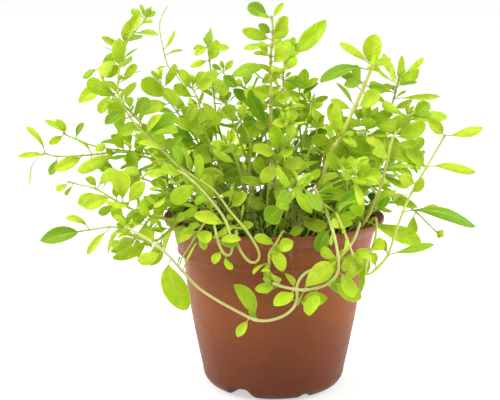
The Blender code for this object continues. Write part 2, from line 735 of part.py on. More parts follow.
class Shoot:
    """A stem with its leaves, grown clear of what stands around it."""

    def __init__(self, name, route, roll, surroundings):
        self.name = name
        self.surroundings = surroundings
        self.leaves = []
        self.luck = random.Random(name)
        self.stem = self.clear_stem(route, roll)

    def clear_stem(self, route, roll):
        """The stem on the first of several slightly shifted routes that touches nothing."""
        ways = [Vector(way) for way in ((0, 1, 0), (0, -1, 0), (0.7, 0, 0.5), (-0.7, 0, 0.5), (0, 0.5, 0.8))]
        for push in (0, 1.5, 3, 4.5, 6, 8, 10, 13):
            for way in ways:
                shift = way * push
                moved = [Vector(stop) + shift for stop in route]
                moved[0] = Vector(route[0]) + Vector((shift.x, shift.y, 0)) * 0.5
                moved[-1] = Vector(route[-1]) + shift * 0.4
                stem = Stem(moved, roll)
                if self.surroundings.clear(*stem.tube(CLEARANCE)):
                    self.surroundings.add(*stem.tube(CLEARANCE))
                    return stem
        raise ValueError(self.name + " finds no clear route")

    def taken(self, place, face):
        """Whether a leaf already grows here, or too near to give both their own piece of stem."""
        for leaf in self.leaves:
            apart = abs(leaf.place - place)
            if apart < 1e-6 and leaf.face == face or 1e-6 < apart < NODE_LENGTH * 1.5:
                return True
        return False

    def free_place(self, place, face):
        """The nearest place on the stem that can bear a leaf on this face, or None."""
        first = NODE_LENGTH
        last = self.stem.total - NODE_LENGTH
        shared = [leaf.place for leaf in self.leaves if abs(leaf.place - place) < NODE_LENGTH * 1.6]
        shifts = [0] + [sign * step * MM for step in range(1, 7) for sign in (1, -1)]
        for candidate in shared + [place + shift for shift in shifts]:
            if first <= candidate <= last and not self.taken(candidate, face):
                return candidate
        return None

    def best_face(self, place, reach):
        """The side face that looks most nearly where the leaf goes."""
        return max(range(4), key=lambda face: self.stem.outward(place, face).dot(reach))

    def grow(self, place, reach, facing, slimness=LEAF_SLIMNESS):
        """Adds a leaf, turned or shrunk where it must be to stay clear. Says whether it fitted."""
        place = min(max(place, NODE_LENGTH), self.stem.total - NODE_LENGTH)
        face = self.best_face(place, reach)
        place = self.free_place(place, face)
        if place is None:
            return False
        for shrink in SHRINKS:
            for turn in TURNS:
                looks = facing.copy()
                looks.rotate(Quaternion(reach.normalized(), math.radians(turn)))
                leaf = Leaf(self.stem, place, face, reach * shrink, looks, slimness)
                if leaf.length > 4 * MM and self.surroundings.clear(*leaf.shell(CLEARANCE)):
                    self.surroundings.add(*leaf.shell(CLEARANCE))
                    self.leaves.append(leaf)
                    return True
        return False

    def grow_own_leaves(self, leaves):
        """The leaves that the shoot states one by one."""
        for stop, x, y, z, *width in leaves:
            reach = Vector((x, y, z)) * MM
            sway = Vector([self.luck.uniform(-0.35, 0.35) for _ in range(3)])
            slimness = LEAF_SLIMNESS * self.luck.uniform(0.85, 1.15) * (1.1 if reach.length < 0.022 else 0.8)
            if width:
                slimness = width[0] * MM / reach.length
            self.grow(self.stem.place_of_stop(stop), reach, FRONT * 0.8 + UP * 0.6 + sway, slimness)

    def grow_pairs(self, bare, length, spacing):
        """Opposite pairs, each turned a quarter from the one below, smaller towards the tip."""
        count = int((self.stem.total - bare) / spacing)
        for pair in range(count + 1):
            place = self.stem.total - NODE_LENGTH - (count - pair) * spacing
            share = place / self.stem.total
            size = length * (1.15 - 0.6 * share**3) * self.luck.uniform(0.8, 1.15)
            point, heading, _, _ = self.stem.frame(place)
            radial = Vector((point.x, point.y, 0)).normalized()
            for face in ((0, 2), (1, 3))[pair % 2]:
                outward = self.stem.outward(place, face)
                reach = (outward + heading * self.luck.uniform(0.25, 0.7) + radial * 0.2).normalized()
                reach.z += self.luck.uniform(-0.25, 0.1)
                sway = Vector([self.luck.uniform(-0.3, 0.3) for _ in range(3)])
                self.grow(place, reach.normalized() * size, heading * 0.5 + UP * 0.6 + radial * 0.5 + sway)

    def drop_touching_leaves(self, finished):
        """Takes off each leaf whose stalk still touches a finished shoot."""
        while self.leaves and not finished.clear(*self.mesh()):
            everything = self.leaves
            for leaf in everything:
                self.leaves = [other for other in everything if other is not leaf]
                if finished.clear(*self.mesh()):
                    return
            self.leaves = everything[:-1]

    def mesh(self):
        """Points and faces of the whole shoot as one closed body."""
        stem = self.stem
        places = sorted({leaf.place for leaf in self.leaves})
        rings = [0.0]
        for place in [*places, stem.total + NODE_LENGTH / 2]:
            rings += stem.steps(rings[-1], min(place - NODE_LENGTH / 2, stem.total))
            if place < stem.total:
                rings.append(place + NODE_LENGTH / 2)
        points = [corner for place in rings for corner in stem.ring(place)]
        faces = [(3, 2, 1, 0)]
        top = len(points) - 4
        faces.append((top, top + 1, top + 2, top + 3))
        for index, (low, high) in enumerate(zip(rings, rings[1:])):
            middle = (low + high) / 2
            for face in range(4):
                a = 4 * index + face
                b = 4 * index + (face + 1) % 4
                quad = (a, b, b + 4, a + 4)
                leaf = next(
                    (one for one in self.leaves if one.face == face and abs(one.place - middle) < 1e-5), None
                )
                if leaf:
                    self.draw_out(leaf, quad, points, faces)
                else:
                    faces.append(quad)
        return points, faces

    @staticmethod
    def draw_out(leaf, quad, points, faces):
        """Draws a side face of the stem out into a leaf."""
        ring = list(quad)
        for number, section in enumerate(leaf.sections()):
            if number == 0:
                turns = [section[i:] + section[:i] for i in range(4)]
                section = min(
                    turns, key=lambda turn: sum((points[p] - q).length for p, q in zip(ring, turn))
                )
                shift = turns.index(section)
            first = len(points)
            points += section if number == 0 else section[shift:] + section[:shift]
            new = list(range(first, first + 4))
            faces += [(ring[i], ring[(i + 1) % 4], new[(i + 1) % 4], new[i]) for i in range(4)]
            ring = new
        blade = ring[-shift:] + ring[:-shift] if shift else ring
        end = len(points)
        points += leaf.end()
        low_right, high_right, high_left, low_left = blade
        faces += [
            (low_right, high_right, end, end + 1),
            (high_right, high_left, end),
            (high_left, low_left, end + 1, end),
            (low_left, low_right, end + 1),
        ]


def ring_route(root, reach, height, angle, luck):
    """The route of a plainer shoot: up out of the mix, then bending outwards to its tip."""
    tip_angle = angle + luck.uniform(-0.22, 0.22)
    start = at_angle(root, SOIL_CROWN / MM + 0.5, angle)
    tip = at_angle(reach * luck.uniform(0.88, 1.1), height * luck.uniform(0.94, 1.06), tip_angle)
    sway = Vector([luck.uniform(-5, 5) for _ in range(3)])
    knee = start.lerp(tip, 0.25) + sway
    crest = start.lerp(tip, 0.62) - sway * 0.6
    over_lip = POT_HEIGHT / MM + 7
    knee.z = max(start.z + (tip.z - start.z) * 0.42, over_lip)
    crest.z = max(start.z + (tip.z - start.z) * 0.8, over_lip + 1)
    return [tuple(start), tuple(knee), tuple(crest), tuple(tip)]


def build_shoots():
    """All shoots: first every stem, then the stated leaves, then the pairs that fill in."""
    surroundings = Surroundings()
    for profile in (outer_profile(), inner_profile(WALL, POT_HEIGHT)):
        points, faces = turned(profile, POT_SIDES // 2)
        surroundings.add(points, [face for face in faces if len(points) - 1 not in face])
    grown = []
    for name, shoot in SHOOTS.items():
        one = Shoot(name, shoot["route"], 0.4, surroundings)
        grown.append((one, shoot["bare"] * MM, 15 * MM))
    for name, count, root, reach, height, length, start in RINGS:
        for number in range(count):
            angle = math.radians(start + 360 * number / count)
            luck = random.Random(name + str(number))
            route = ring_route(root * luck.uniform(0.85, 1.1), reach, height, angle, luck)
            one = Shoot(f"{name}_{number + 1}", route, luck.uniform(0, 1.5), surroundings)
            grown.append((one, one.stem.total * 0.3, length * MM))
    for one, _, _ in grown:
        if one.name in SHOOTS:
            one.grow_own_leaves(SHOOTS[one.name]["leaves"])
    for one, bare, length in grown:
        one.grow_pairs(bare, length, PAIR_SPACING)
    green = material("leaf green", (0.28, 0.52, 0.04), 0.5)
    finished = Surroundings()
    for one, _, _ in grown:
        one.drop_touching_leaves(finished)
        points, faces = one.mesh()
        finished.add(points, faces)
        shade(mesh_object(one.name, points, faces, green), 50)


def main():
    for old in list(bpy.data.objects):
        bpy.data.objects.remove(old)
    build_pot()
    build_potting_mix()
    build_shoots()


main()
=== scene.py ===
"""The look of a potted marjoram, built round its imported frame.

Metres, +Z up, in the frame's own axes: the origin is the centre of the pot's base, and -Y is the
side where the long runner hangs across the front of the pot. Every shoot first follows the same
growth plan as the solid that it replaces, then gets its finer stem, more leaves and its finish.
"""

import logging
import math
import random
from dataclasses import dataclass, replace
from enum import Enum
from typing import Iterable, NamedTuple, Sequence

import bmesh
import bpy
import numpy as np
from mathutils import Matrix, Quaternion, Vector, noise
from mathutils.bvhtree import BVHTree


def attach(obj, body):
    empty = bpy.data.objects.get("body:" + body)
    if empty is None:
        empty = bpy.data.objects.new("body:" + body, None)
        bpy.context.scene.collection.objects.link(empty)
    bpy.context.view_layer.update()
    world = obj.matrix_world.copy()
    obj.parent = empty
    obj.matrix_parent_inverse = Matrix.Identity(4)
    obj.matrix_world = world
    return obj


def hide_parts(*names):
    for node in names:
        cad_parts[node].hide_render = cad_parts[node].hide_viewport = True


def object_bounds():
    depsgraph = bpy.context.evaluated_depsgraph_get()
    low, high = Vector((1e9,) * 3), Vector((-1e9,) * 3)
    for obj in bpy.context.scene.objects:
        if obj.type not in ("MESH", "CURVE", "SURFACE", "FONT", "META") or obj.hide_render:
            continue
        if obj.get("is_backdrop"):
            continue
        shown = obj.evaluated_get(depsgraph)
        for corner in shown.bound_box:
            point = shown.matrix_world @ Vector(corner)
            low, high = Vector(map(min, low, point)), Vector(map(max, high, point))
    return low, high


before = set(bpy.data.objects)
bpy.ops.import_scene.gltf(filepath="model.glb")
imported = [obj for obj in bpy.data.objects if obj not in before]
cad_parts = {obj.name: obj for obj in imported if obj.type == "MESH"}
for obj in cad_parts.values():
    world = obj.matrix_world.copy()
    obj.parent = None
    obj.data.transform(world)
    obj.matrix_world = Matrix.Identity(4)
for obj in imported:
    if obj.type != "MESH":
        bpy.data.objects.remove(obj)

LOG = logging.getLogger("marjoram")
CAD_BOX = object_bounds()
BODY = "root"

MM = 0.001
UP = Vector((0, 0, 1))
FRONT = Vector((0, -1, 0))
PAIRS = ((0, 2), (1, 3))  # the side faces of a square stem that bear opposite leaves, by turns
CORNERS = ((1, -1), (1, 1), (-1, 1), (-1, -1))
Pair = tuple[float, float]
Triple = tuple[float, float, float]
Colour = tuple[float, float, float]
Material = bpy.types.Material
Mesh = bpy.types.Mesh
Socket = bpy.types.NodeSocket
Shell = tuple[list[Vector], list[Sequence[int]]]  # the points and the faces of a plain shape


class Slot(Enum):
    """The record's material slots."""

    POT = "pot_plastic"
    MIX = "potting_mix"
    FOLIAGE = "foliage"


class Edge(Enum):
    """The angle in degrees over which the edges of a piece stay sharp."""

    POT = 40
    CRUMB = 50
    STEM = 60
    LEAF = 75
    NONE = 180


@dataclass(frozen=True)
class ShootPlan:
    """A shoot with a route of its own, in millimetres.

    Each leaf is the stop on the route that bears it, how far its tip reaches from there and, for
    some, its width. "bare" is the length of stem below the first of the further pairs.
    """

    name: str
    route: tuple[Triple, ...]
    leaves: tuple[tuple[float, ...], ...]
    bare: float = 200


@dataclass(frozen=True)
class RingPlan:
    """A ring of plainer shoots that fill the plant, in millimetres and degrees."""

    name: str
    count: int
    root_radius: float
    tip_radius: float
    tip_height: float
    leaf_length: float
    start_angle: float


OWN_PLANS: tuple[ShootPlan, ...] = (
    ShootPlan("tall_left_shoot", bare=230, route=(
        (-22, -40, 87), (-20, -56, 97.5), (-19, -65, 92), (-14, -68.5, 85), (-9.5, -69, 84.5),
        (-8.5, -67, 89), (-14, -63, 98), (-23, -54, 107), (-32, -46, 117), (-48, -38, 126), (-58, -34, 135),
        (-66, -32, 142), (-75, -30, 152), (-81, -28, 164), (-80, -26, 178), (-77, -24, 189),
        (-71, -24, 197), (-66, -24, 203),
    ), leaves=(
        (17, -7, 2, 5), (17, 3, -2, 8), (15.6, 5, -4, 11), (15, 4, 3, 13, 6.5), (15, -17, 2, 1, 4),
        (14.7, -11, -2, 7, 4), (14, 1, -6, 14), (14.2, -12, 3, -7), (13, -15, -5, 7), (13, -13, 4, -11),
        (12.3, -10, -8, -6), (12, 10, 4, 9), (11, 16, -5, 10), (13.4, 9, 4, 9),
    )),
    ShootPlan("left_shoot_1", route=(
        (-21, -18, 87), (-30, -20, 102), (-42, -18, 118), (-55, -16, 126), (-66, -14, 128), (-80, -12, 131),
        (-99, -10, 129), (-116, -8, 128), (-124, -8, 130),
    ), leaves=(
        (8, -10, 2, 14, 4), (8, -14, -3, -1, 5.5), (7.7, -10, 3, -18, 3), (7, -4, -2, -10),
        (6.2, -14, -3, -7), (5.2, -21, -5, -9), (5, -13, 5, 4), (4, -9, -4, -16), (3, -6, -8, 12),
    )),
    ShootPlan("left_shoot_2", route=(
        (-20, 2, 87), (-33, 2, 107), (-52, 4, 122), (-72, 4, 128), (-93, 2, 131), (-107, 0, 136),
        (-114, -2, 140),
    ), leaves=(
        (6, -11, 3, 7, 6.5), (6, -8, -4, -5), (5.7, -4, -3, 8), (5, 4, 2, 9, 5), (3.3, -8, -5, 18),
        (3.6, 4, 3, 13), (2.5, -10, 6, 14), (2, 4, 8, 14),
    )),
    ShootPlan("left_shoot_3", route=(
        (-28, -23, 87), (-41, -37, 99), (-52, -45, 101), (-64, -50, 104), (-78, -50, 110), (-91, -46, 117),
        (-100, -44, 119), (-107, -44, 121),
    ), leaves=(
        (7, -6, -3, -4), (6.6, -3, -3, -6, 6), (4.6, -14, -5, -4, 13), (5, 10, 3, 10), (4, -3, 3, 17),
        (4.2, 3, -8, -9), (3, -4, -10, 9),
    )),
    ShootPlan("left_shoot_4", route=(
        (-36, -18, 87), (-48, -33, 98), (-55, -46, 95), (-61, -54, 92), (-70, -57, 95), (-81, -54, 99),
        (-93, -50, 97), (-103, -48, 95),
    ), leaves=(
        (6.2, -12, 3, 6, 5), (6.6, -21, -3, -4, 9.5), (5.3, -11, -4, -13, 5), (4, -14, 7, -9),
        (3.4, -22, -6, -10, 9), (3, 2, 6, 16),
    )),
    ShootPlan("runner", bare=400, route=(
        (37, -22, 87), (43, -39, 98), (42, -50, 97), (38, -58, 91), (31, -64, 85), (21, -67, 81),
        (14, -68, 78), (10.5, -68, 72), (10.5, -68, 64), (6, -67, 57.5), (-2, -67, 54), (-10, -67, 54),
        (-19, -66, 58), (-30, -65, 64), (-39, -64, 70), (-47, -65, 79), (-56, -65, 89), (-65, -63, 95),
        (-76, -60, 101),
    ), leaves=(
        (8, -9, -2, 2), (8.1, 15, -4, 3), (11, -11, -3, 19), (11.4, -6, -4, -9), (15.6, 8, -5, -25, 15.5),
        (15, 7, -4, 15), (5, 14, 4, -13), (4, 7, -4, 8), (16, -13, -4, -4), (18, -6, -3, 7),
        (15.9, -14, -4, -9, 3), (15, -12, -4, 4, 4.5),
    )),
    ShootPlan("front_loop_shoot", route=(
        (-29, -35, 87), (-29, -52, 98), (-27, -63, 93), (-24, -67, 87), (-20.5, -67, 86.5), (-20, -66, 92),
        (-23, -61, 102), (-30, -57, 111), (-38, -52, 119), (-47, -47, 125), (-59, -44, 125),
        (-69, -42, 121),
    ), leaves=(
        (10.6, -21, -4, -12), (9, -3, -2, 13), (8, 1, -3, 16), (8, -12, -6, -8), (2.2, 11, -7, 3),
        (2.8, -4, -7, -5), (11, -10, 5, 3), (6.6, 8, -4, -9),
    )),
    ShootPlan("arching_shoot", bare=220, route=(
        (12, -14, 87), (15, -22, 105), (20, -34, 115), (25, -48, 108), (29, -60, 97), (31, -67, 86),
        (30, -69, 78), (24, -70, 73), (14, -71, 71), (6, -71, 72), (-2, -70, 74),
    ), leaves=(
        (10, -10, -2, -2), (8, 13, -4, 14), (6.4, 14, -2, -9), (2, 12, -6, 8), (3, -8, -6, 5),
        (3.6, 13, 2, 5), (5, -9, -5, 6), (5.2, -6, -3, -8),
    )),
    ShootPlan("front_sprig", bare=100, route=(
        (8, -36, 87), (4, -54, 97), (0, -64, 93), (-3.5, -67, 88.5), (-3.5, -68, 84), (-4, -68, 77),
    ), leaves=(
        (4, -8, -3, -5), (5, 1, -2, -8), (2.2, -10, -6, 6), (2, 9, -8, 4),
    )),
    ShootPlan("thick_right_shoot", route=(
        (10, -20, 87), (15, -24, 101), (20, -28, 114), (24, -28, 128), (29, -28, 137), (35, -26, 149),
        (41, -24, 162), (46, -22, 174), (48, -22, 178),
    ), leaves=(
        (8, -17, 3, 11, 6), (8, 1, -3, 16, 11.5), (7, -26, -4, -6, 10.5), (7, 10, 5, 3), (4, -2, -5, 20),
        (3, 14, -6, -8), (4, 21, 4, -2), (2.8, -26, -9, -13), (3.6, -12, -5, 6), (1, 19, -9, 19),
        (5.4, 12, -6, 8), (6, -11, 6, 9), (6.2, 11, -5, -2), (5.2, -12, -4, 6),
    )),
    ShootPlan("right_shoot_1", route=(
        (40, -29, 87), (45, -34, 97), (49, -38, 106), (53, -38, 118), (56, -34, 130), (59, -30, 140),
        (64, -28, 146), (68, -26, 153),
    ), leaves=(
        (1, -9, -9, 8), (1.6, 9, -6, 8), (1.1, 28, -10, -10, 11.5), (5, 16, -5, 8), (7, 11, -3, 7),
        (7, -12, 4, 7), (6.4, 22, 3, 2, 8), (4, 16, 6, 1), (3, -12, -8, 4), (4.4, -13, -6, 5),
    )),
    ShootPlan("right_shoot_2", bare=300, route=(
        (46, -20, 87), (53, -34, 99), (52, -50, 92), (47, -63, 83), (46, -69, 77.5), (50, -68, 79),
        (57, -62, 85), (61, -56, 94), (66, -48, 105), (71, -42, 114), (79, -36, 126), (87, -30, 138),
        (89, -28, 143),
    ), leaves=(
        (6.1, 22, -5, 7, 8), (5.2, -3, -4, 9), (6, -3, 3, 7), (8, 37, -4, -6, 10), (9, 5, -3, 8),
        (10, 25, -3, -2, 6.5), (10, -10, 5, 10), (12, 20, 2, 4, 8.5), (11.6, -9, -4, 9), (12, 5, 3, 7),
        (9.3, -9, -6, 5), (3.4, -12, -6, -7), (3.6, 3, -6, -9),
    )),
    ShootPlan("right_shoot_3", route=(
        (30, 0, 87), (41, -6, 109), (52, -8, 131), (59, -8, 145), (62, -8, 154), (64, -8, 162),
        (66, -8, 170),
    ), leaves=(
        (6, 13, 3, 12, 4), (5.8, -8, 4, 14, 6.5), (5.4, -4, -6, 11), (6, 2, 5, 13, 4), (5.6, 12, 5, 9),
        (5, -14, -5, 5), (4.6, 24, -4, 2, 4.5), (4.3, 17, -5, 5, 11.5), (3, 14, 6, 3), (3, -12, -7, 6),
        (2, 14, -4, 6), (2, -11, 4, 9), (1, 10, -9, 9),
    )),
    ShootPlan("tall_centre_shoot", route=(
        (4, -6, 87), (1, -8, 110), (-2, -8, 131), (-2, -8, 145), (-2, -8, 157), (-2, -6, 171),
        (-2, -6, 181), (-1, -6, 190), (-1, -6, 198), (-2, -6, 203),
    ), leaves=(
        (9, -12, 2, 7, 8.5), (9, 6, -2, 8, 4), (8.3, -7, -3, 2, 3), (7.4, 7, -3, 9), (7, -16, 2, 5, 6.5),
        (6.8, -15, -3, -2, 8), (7, 8, 4, 7), (6, 12, 3, 6), (6, -6, -4, 8), (5.8, -9, 3, 2),
        (3, -11, -4, 19), (2.7, -14, 4, -3), (4, 10, -7, 4), (4.2, -9, -7, 5), (3, 13, 5, 7),
        (2, 10, -9, 5),
    )),
    ShootPlan("tall_back_shoot", route=(
        (7, 14, 87), (8, 14, 117), (5, 13, 140), (5, 12, 157), (5, 11, 167), (6, 10, 176), (8, 9, 184),
    ), leaves=(
        (6, 20, -4, 17, 11), (5, -2, 6, 12), (5, 9, 4, 7, 3), (4, 12, -4, -3), (3, -9, 9, 6),
        (4.2, -6, 8, 7), (3.4, 9, 8, 7), (2, -11, 7, 7), (2, 10, 8, 6),
    )),
    ShootPlan("upright_shoot_1", route=(
        (18, 12, 87), (18, 14, 111), (15, 15, 134), (14, 15, 150), (14, 15, 163),
    ), leaves=(
        (4, 3, 2, 11), (4, 10, -2, 6), (3.8, -9, -3, 5), (3, 13, 3, 5), (3, -3, 10, 7), (2, 14, -5, 5),
        (2, -6, 11, 5), (1, 12, 6, 8),
    )),
    ShootPlan("upright_shoot_2", route=(
        (-6, 12, 87), (-3, 12, 112), (-5, 10, 140), (-10, 8, 156), (-16, 6, 163), (-25, 6, 168),
        (-28, 6, 173),
    ), leaves=(
        (5, 19, -3, 7), (6, 5, 3, 6), (6, -14, -3, -7), (6, -7, 4, 6), (5.2, -3, -6, -9), (3, 9, 8, 6),
        (3, -12, 4, 6), (2, 10, 7, 4), (2, -12, -5, 7), (4, 2, 8, 10),
    )),
    ShootPlan("upright_shoot_3", route=(
        (-17, 18, 87), (-24, 18, 116), (-31, 16, 144), (-33, 14, 161), (-35, 14, 177), (-36, 14, 186),
    ), leaves=(
        (5, 1, -1, 10), (5, -8, 2, -1), (4.8, -7, -4, -4), (4.8, 11, 3, 3), (4, -10, -3, -3), (4, 4, 6, 11),
        (3, 11, -4, 6), (3, -10, 5, 7), (2, -8, -9, 6), (2, 9, 8, 7),
    )),
    ShootPlan("wispy_shoot", route=(
        (-22, 27, 87), (-33, 26, 120), (-41, 22, 146), (-48, 20, 160), (-53, 20, 168), (-58, 20, 174),
        (-60, 20, 181), (-62, 20, 191), (-62, 20, 198), (-60, 20, 203), (-57, 20, 207),
    ), leaves=(
        (6, -5, 1, 3), (5, -6, -2, -2), (6.2, 6, 2, 10), (5.8, 10, -3, 3), (3, -5, 3, 11), (2, -11, 4, 8),
        (2, 9, 7, 8), (1.4, -10, 8, 6),
    )),
    ShootPlan("upright_shoot_4", route=(
        (-14, -6, 87), (-26, -8, 115), (-37, -10, 142), (-40, -10, 157), (-44, -10, 166),
    ), leaves=(
        (4, -6, 2, 10), (4, 6, -2, 9), (3, -6, -5, -10), (3.1, 8, -5, -9), (2.7, 14, -6, 4),
        (2, -16, -5, 6), (2, 9, 6, 9), (1.5, 12, -8, 5), (1.4, -12, -8, 6), (3.3, -12, 5, 6),
    )),
    ShootPlan("left_high_shoot", route=(
        (-25, -10, 87), (-40, -16, 110), (-57, -20, 132), (-72, -18, 150), (-84, -16, 162), (-90, -16, 171),
        (-92, -16, 177),
    ), leaves=(
        (6, 8, 3, 8), (5.4, -9, 3, -5), (5, 10, -5, 6), (4.6, -14, -4, -9), (4, -12, 6, 4), (4, 5, -7, -14),
        (3.4, -8, -5, -15), (3, 13, 4, 7), (2.6, -14, -4, 6), (2, 9, -8, 9), (2, -9, 6, 12),
    )),
    ShootPlan("left_leafy_shoot", route=(
        (-15, 4, 87), (-30, 2, 113), (-42, 0, 136), (-52, -2, 151), (-58, -2, 160), (-61, -2, 168),
    ), leaves=(
        (5, -3, -2, 8, 6), (4.3, -12, 3, 6), (4, 14, -5, 7), (3.5, -14, -4, -4), (3, 15, -7, 1),
        (3, -9, 6, 12), (2.4, 12, 6, 9), (2, -13, -7, 5), (2, 10, -9, 8), (1.3, -11, 6, 8),
    )),
    ShootPlan("right_leafy_shoot", route=(
        (24, -12, 87), (33, -18, 110), (41, -22, 129), (47, -24, 142), (50, -24, 151),
    ), leaves=(
        (4, -3, -2, 13), (4, 12, 3, 6), (3.4, -14, 3, 5), (3, 16, -6, 2), (3, -13, -7, -3),
        (2.4, 8, -10, 8), (2, -14, -4, 6), (2, 13, 5, 8), (1.3, 12, -8, 3), (1.2, -12, -6, 8),
    )),
    ShootPlan("front_leafy_shoot", route=(
        (-2, -26, 87), (-4, -34, 104), (-3, -40, 118), (1, -42, 130), (4, -42, 139),
    ), leaves=(
        (4, -5, -4, 12), (4, 12, -2, 5), (3.4, -14, -4, 3), (3, 13, -7, 1), (3, -8, -8, -9),
        (2.4, 15, 2, 7), (2, -15, -3, 3), (2, 9, -9, -8), (1.2, -10, -9, 5), (1.2, 12, -8, 4),
    )),
    ShootPlan("front_right_shoot", route=(
        (28, -34, 87), (33, -42, 100), (36, -48, 111), (36, -50, 121), (34, -51, 129),
    ), leaves=(
        (4, -8, -3, 9), (4, 12, -3, 7), (3, -12, -6, -4), (3, 17, -5, 6), (2.4, 6, -9, -10),
        (2, -16, -6, 3), (1.9, 14, 4, 9), (1, 14, -8, 2), (1.1, -14, -6, 3),
    )),
)

RING_PLANS: tuple[RingPlan, ...] = (
    RingPlan("inner_shoot", 6, 12, 24, 154, 16, 20),
    RingPlan("middle_shoot", 9, 26, 50, 144, 17, 5),
    RingPlan("outer_shoot", 11, 38, 80, 122, 18, 30),
    RingPlan("hanging_shoot", 7, 44, 84, 88, 16, 75),
)


def at_angle(radius: float, height: float, angle: float) -> Vector:
    """The point at this radius and height, with the angle turned from the front towards +X."""
    return Vector((radius * math.sin(angle), -radius * math.cos(angle), height))


def along(points: Sequence[Vector], spot: float) -> Vector:
    """The point at this place on a smooth curve between the middle two of four points.

    Args:
        points: Four points that the curve passes through.
        spot: 0 at the second point and 1 at the third.

    Returns:
        The point on the curve.
    """
    a, b, c, d = points
    return 0.5 * (
        2 * b
        + (c - a) * spot
        + (2 * a - 5 * b + 4 * c - d) * spot**2
        + (3 * b - a - 3 * c + d) * spot**3
    )


def outwards(point: Vector) -> Vector:
    """The level direction away from the pot's axis."""
    return Vector((point.x, point.y, 0)).normalized()


def sway(luck: random.Random, most: float) -> Vector:
    """A step in a chance direction, up to this far along each axis."""
    return Vector([luck.uniform(-most, most) for _ in range(3)])


def leaning(luck: random.Random, most: float, rise: float) -> Vector:
    """A step with this rise, and up to this far along X and along Y by chance."""
    return Vector((luck.uniform(-most, most), luck.uniform(-most, most), rise))


def chance_spot(luck: random.Random, reach: float, height: float) -> Vector:
    """A point at this height, anywhere in a disc of this radius with even chance."""
    radius = reach * math.sqrt(luck.random())
    return at_angle(radius, height, luck.uniform(0, math.tau))


def turned(way: Vector, axis: Vector, degrees: float) -> Vector:
    """A direction turned about an axis.

    Args:
        way: The direction.
        axis: What it turns about, of any length.
        degrees: How far it turns.

    Returns:
        The new direction.
    """
    made = way.copy()
    made.rotate(Quaternion(axis.normalized(), math.radians(degrees)))
    return made


def ring_faces(rings: int, sides: int, first: int = 0) -> np.ndarray:
    """Faces between rings of points.

    Args:
        rings: How many rings there are, one after the other.
        sides: How many points each has, counter-clockwise about the way they run.
        first: The index of the first point.

    Returns:
        Four indices a row.
    """
    side = np.arange(sides)
    after = (side + 1) % sides
    step = np.stack([side, after, after + sides, side + sides], 1)
    return np.concatenate([step + first + sides * ring for ring in range(rings - 1)])


@dataclass(frozen=True)
class PotShape:
    """The turned outline of the nursery pot, in millimetres. Pairs are a radius and a height."""

    height: float = 94.7
    wall: float = 1.2
    lip_radius: float = 60.0
    lip_foot: Pair = (59.4, 92.2)
    band_top: Pair = (54.8, 87.6)
    band_foot: Pair = (52.4, 75.2)
    body_top: Pair = (49.2, 74.2)
    body_foot: Pair = (39.0, 10.0)
    body_bow: float = 1.4
    body_rings: int = 6
    base_radius: float = 29.5
    sides: int = 30
    soil_edge: float = 85.3
    soil_crown: float = 86.5

    def side(self, height: float, inset: float = 0) -> Pair:
        """A point of the body, which tapers faster towards its foot.

        Args:
            height: The height of the point; above the body's top it keeps the radius there.
            inset: How far in from the outside it is.

        Returns:
            The point.
        """
        low, high = self.body_foot[1], self.body_top[1]
        share = (min(height, high) - low) / (high - low)
        spread = self.body_top[0] - self.body_foot[0]
        return self.body_foot[0] + spread * (1 - (1 - share) ** self.body_bow) - inset, height

    def foot(self, turn: float, inset: float = 0) -> Pair:
        """A point of the rounded foot.

        Args:
            turn: How far it is turned up, from 0 at the base to a quarter turn at the body.
            inset: How far in from the outside it is.

        Returns:
            The point.
        """
        radius = self.base_radius + (self.body_foot[0] - self.base_radius) * math.sin(turn)
        return radius - inset, inset + (self.body_foot[1] - inset) * (1 - math.cos(turn))

    def rings(self, inset: float, top: float) -> list[Pair]:
        """Rings of the body from its foot up.

        Args:
            inset: How far in from the outside.
            top: The height of the last ring.

        Returns:
            The rings, bottom to top.
        """
        rise = (top - self.body_foot[1]) / self.body_rings
        return [self.side(self.body_foot[1] + rise * i, inset) for i in range(self.body_rings + 1)]

    def outside(self) -> list[Pair]:
        """The outside of the pot, bottom to top.

        Returns:
            Pairs of a radius and a height.
        """
        foot = [self.foot(math.radians(turn)) for turn in (0, 30, 60)]
        band = [(self.band_foot[0] - self.wall / 2, self.body_top[1]), self.band_foot, self.band_top]
        lip = [self.lip_foot, (self.lip_radius, self.height - self.wall), (self.lip_radius, self.height)]
        return [(0, 0), *foot, *self.rings(0, self.body_top[1]), *band, *lip, (0, self.height)]

    def inside(self) -> list[Pair]:
        """The inside of the pot, bottom to top.

        Returns:
            Pairs of a radius and a height.
        """
        inset = self.wall
        shoulder = self.body_top[1] + inset
        floor = [
            (self.base_radius - inset / 2, inset),
            (self.body_foot[0] - inset * 1.4, self.body_foot[1] * 0.62),
        ]
        low = [*floor, *self.rings(inset, shoulder), (self.band_foot[0] - inset, shoulder + inset / 2)]
        flare = [(radius - inset, height + inset / 2) for radius, height in (self.band_top, self.lip_foot)]
        return [(0, inset), *low, *flare, (self.lip_radius - inset, self.height), (0, self.height)]

    def walls(self) -> Iterable[Shell]:
        """The outside and the inside as coarse open shells, which stems and leaves keep clear of.

        Yields:
            The points and the faces of each shell.
        """
        sides = self.sides
        for profile in (self.outside(), self.inside()):
            points = [Vector((0, 0, profile[0][1] * MM))]
            for radius, height in profile[1:-1]:
                points += [at_angle(radius * MM, height * MM, math.tau * i / sides) for i in range(sides)]
            fan = [(0, 1 + (i + 1) % sides, 1 + i) for i in range(sides)]
            yield points, fan + ring_faces(len(profile) - 2, sides, 1).tolist()


POT_SHAPE = PotShape()


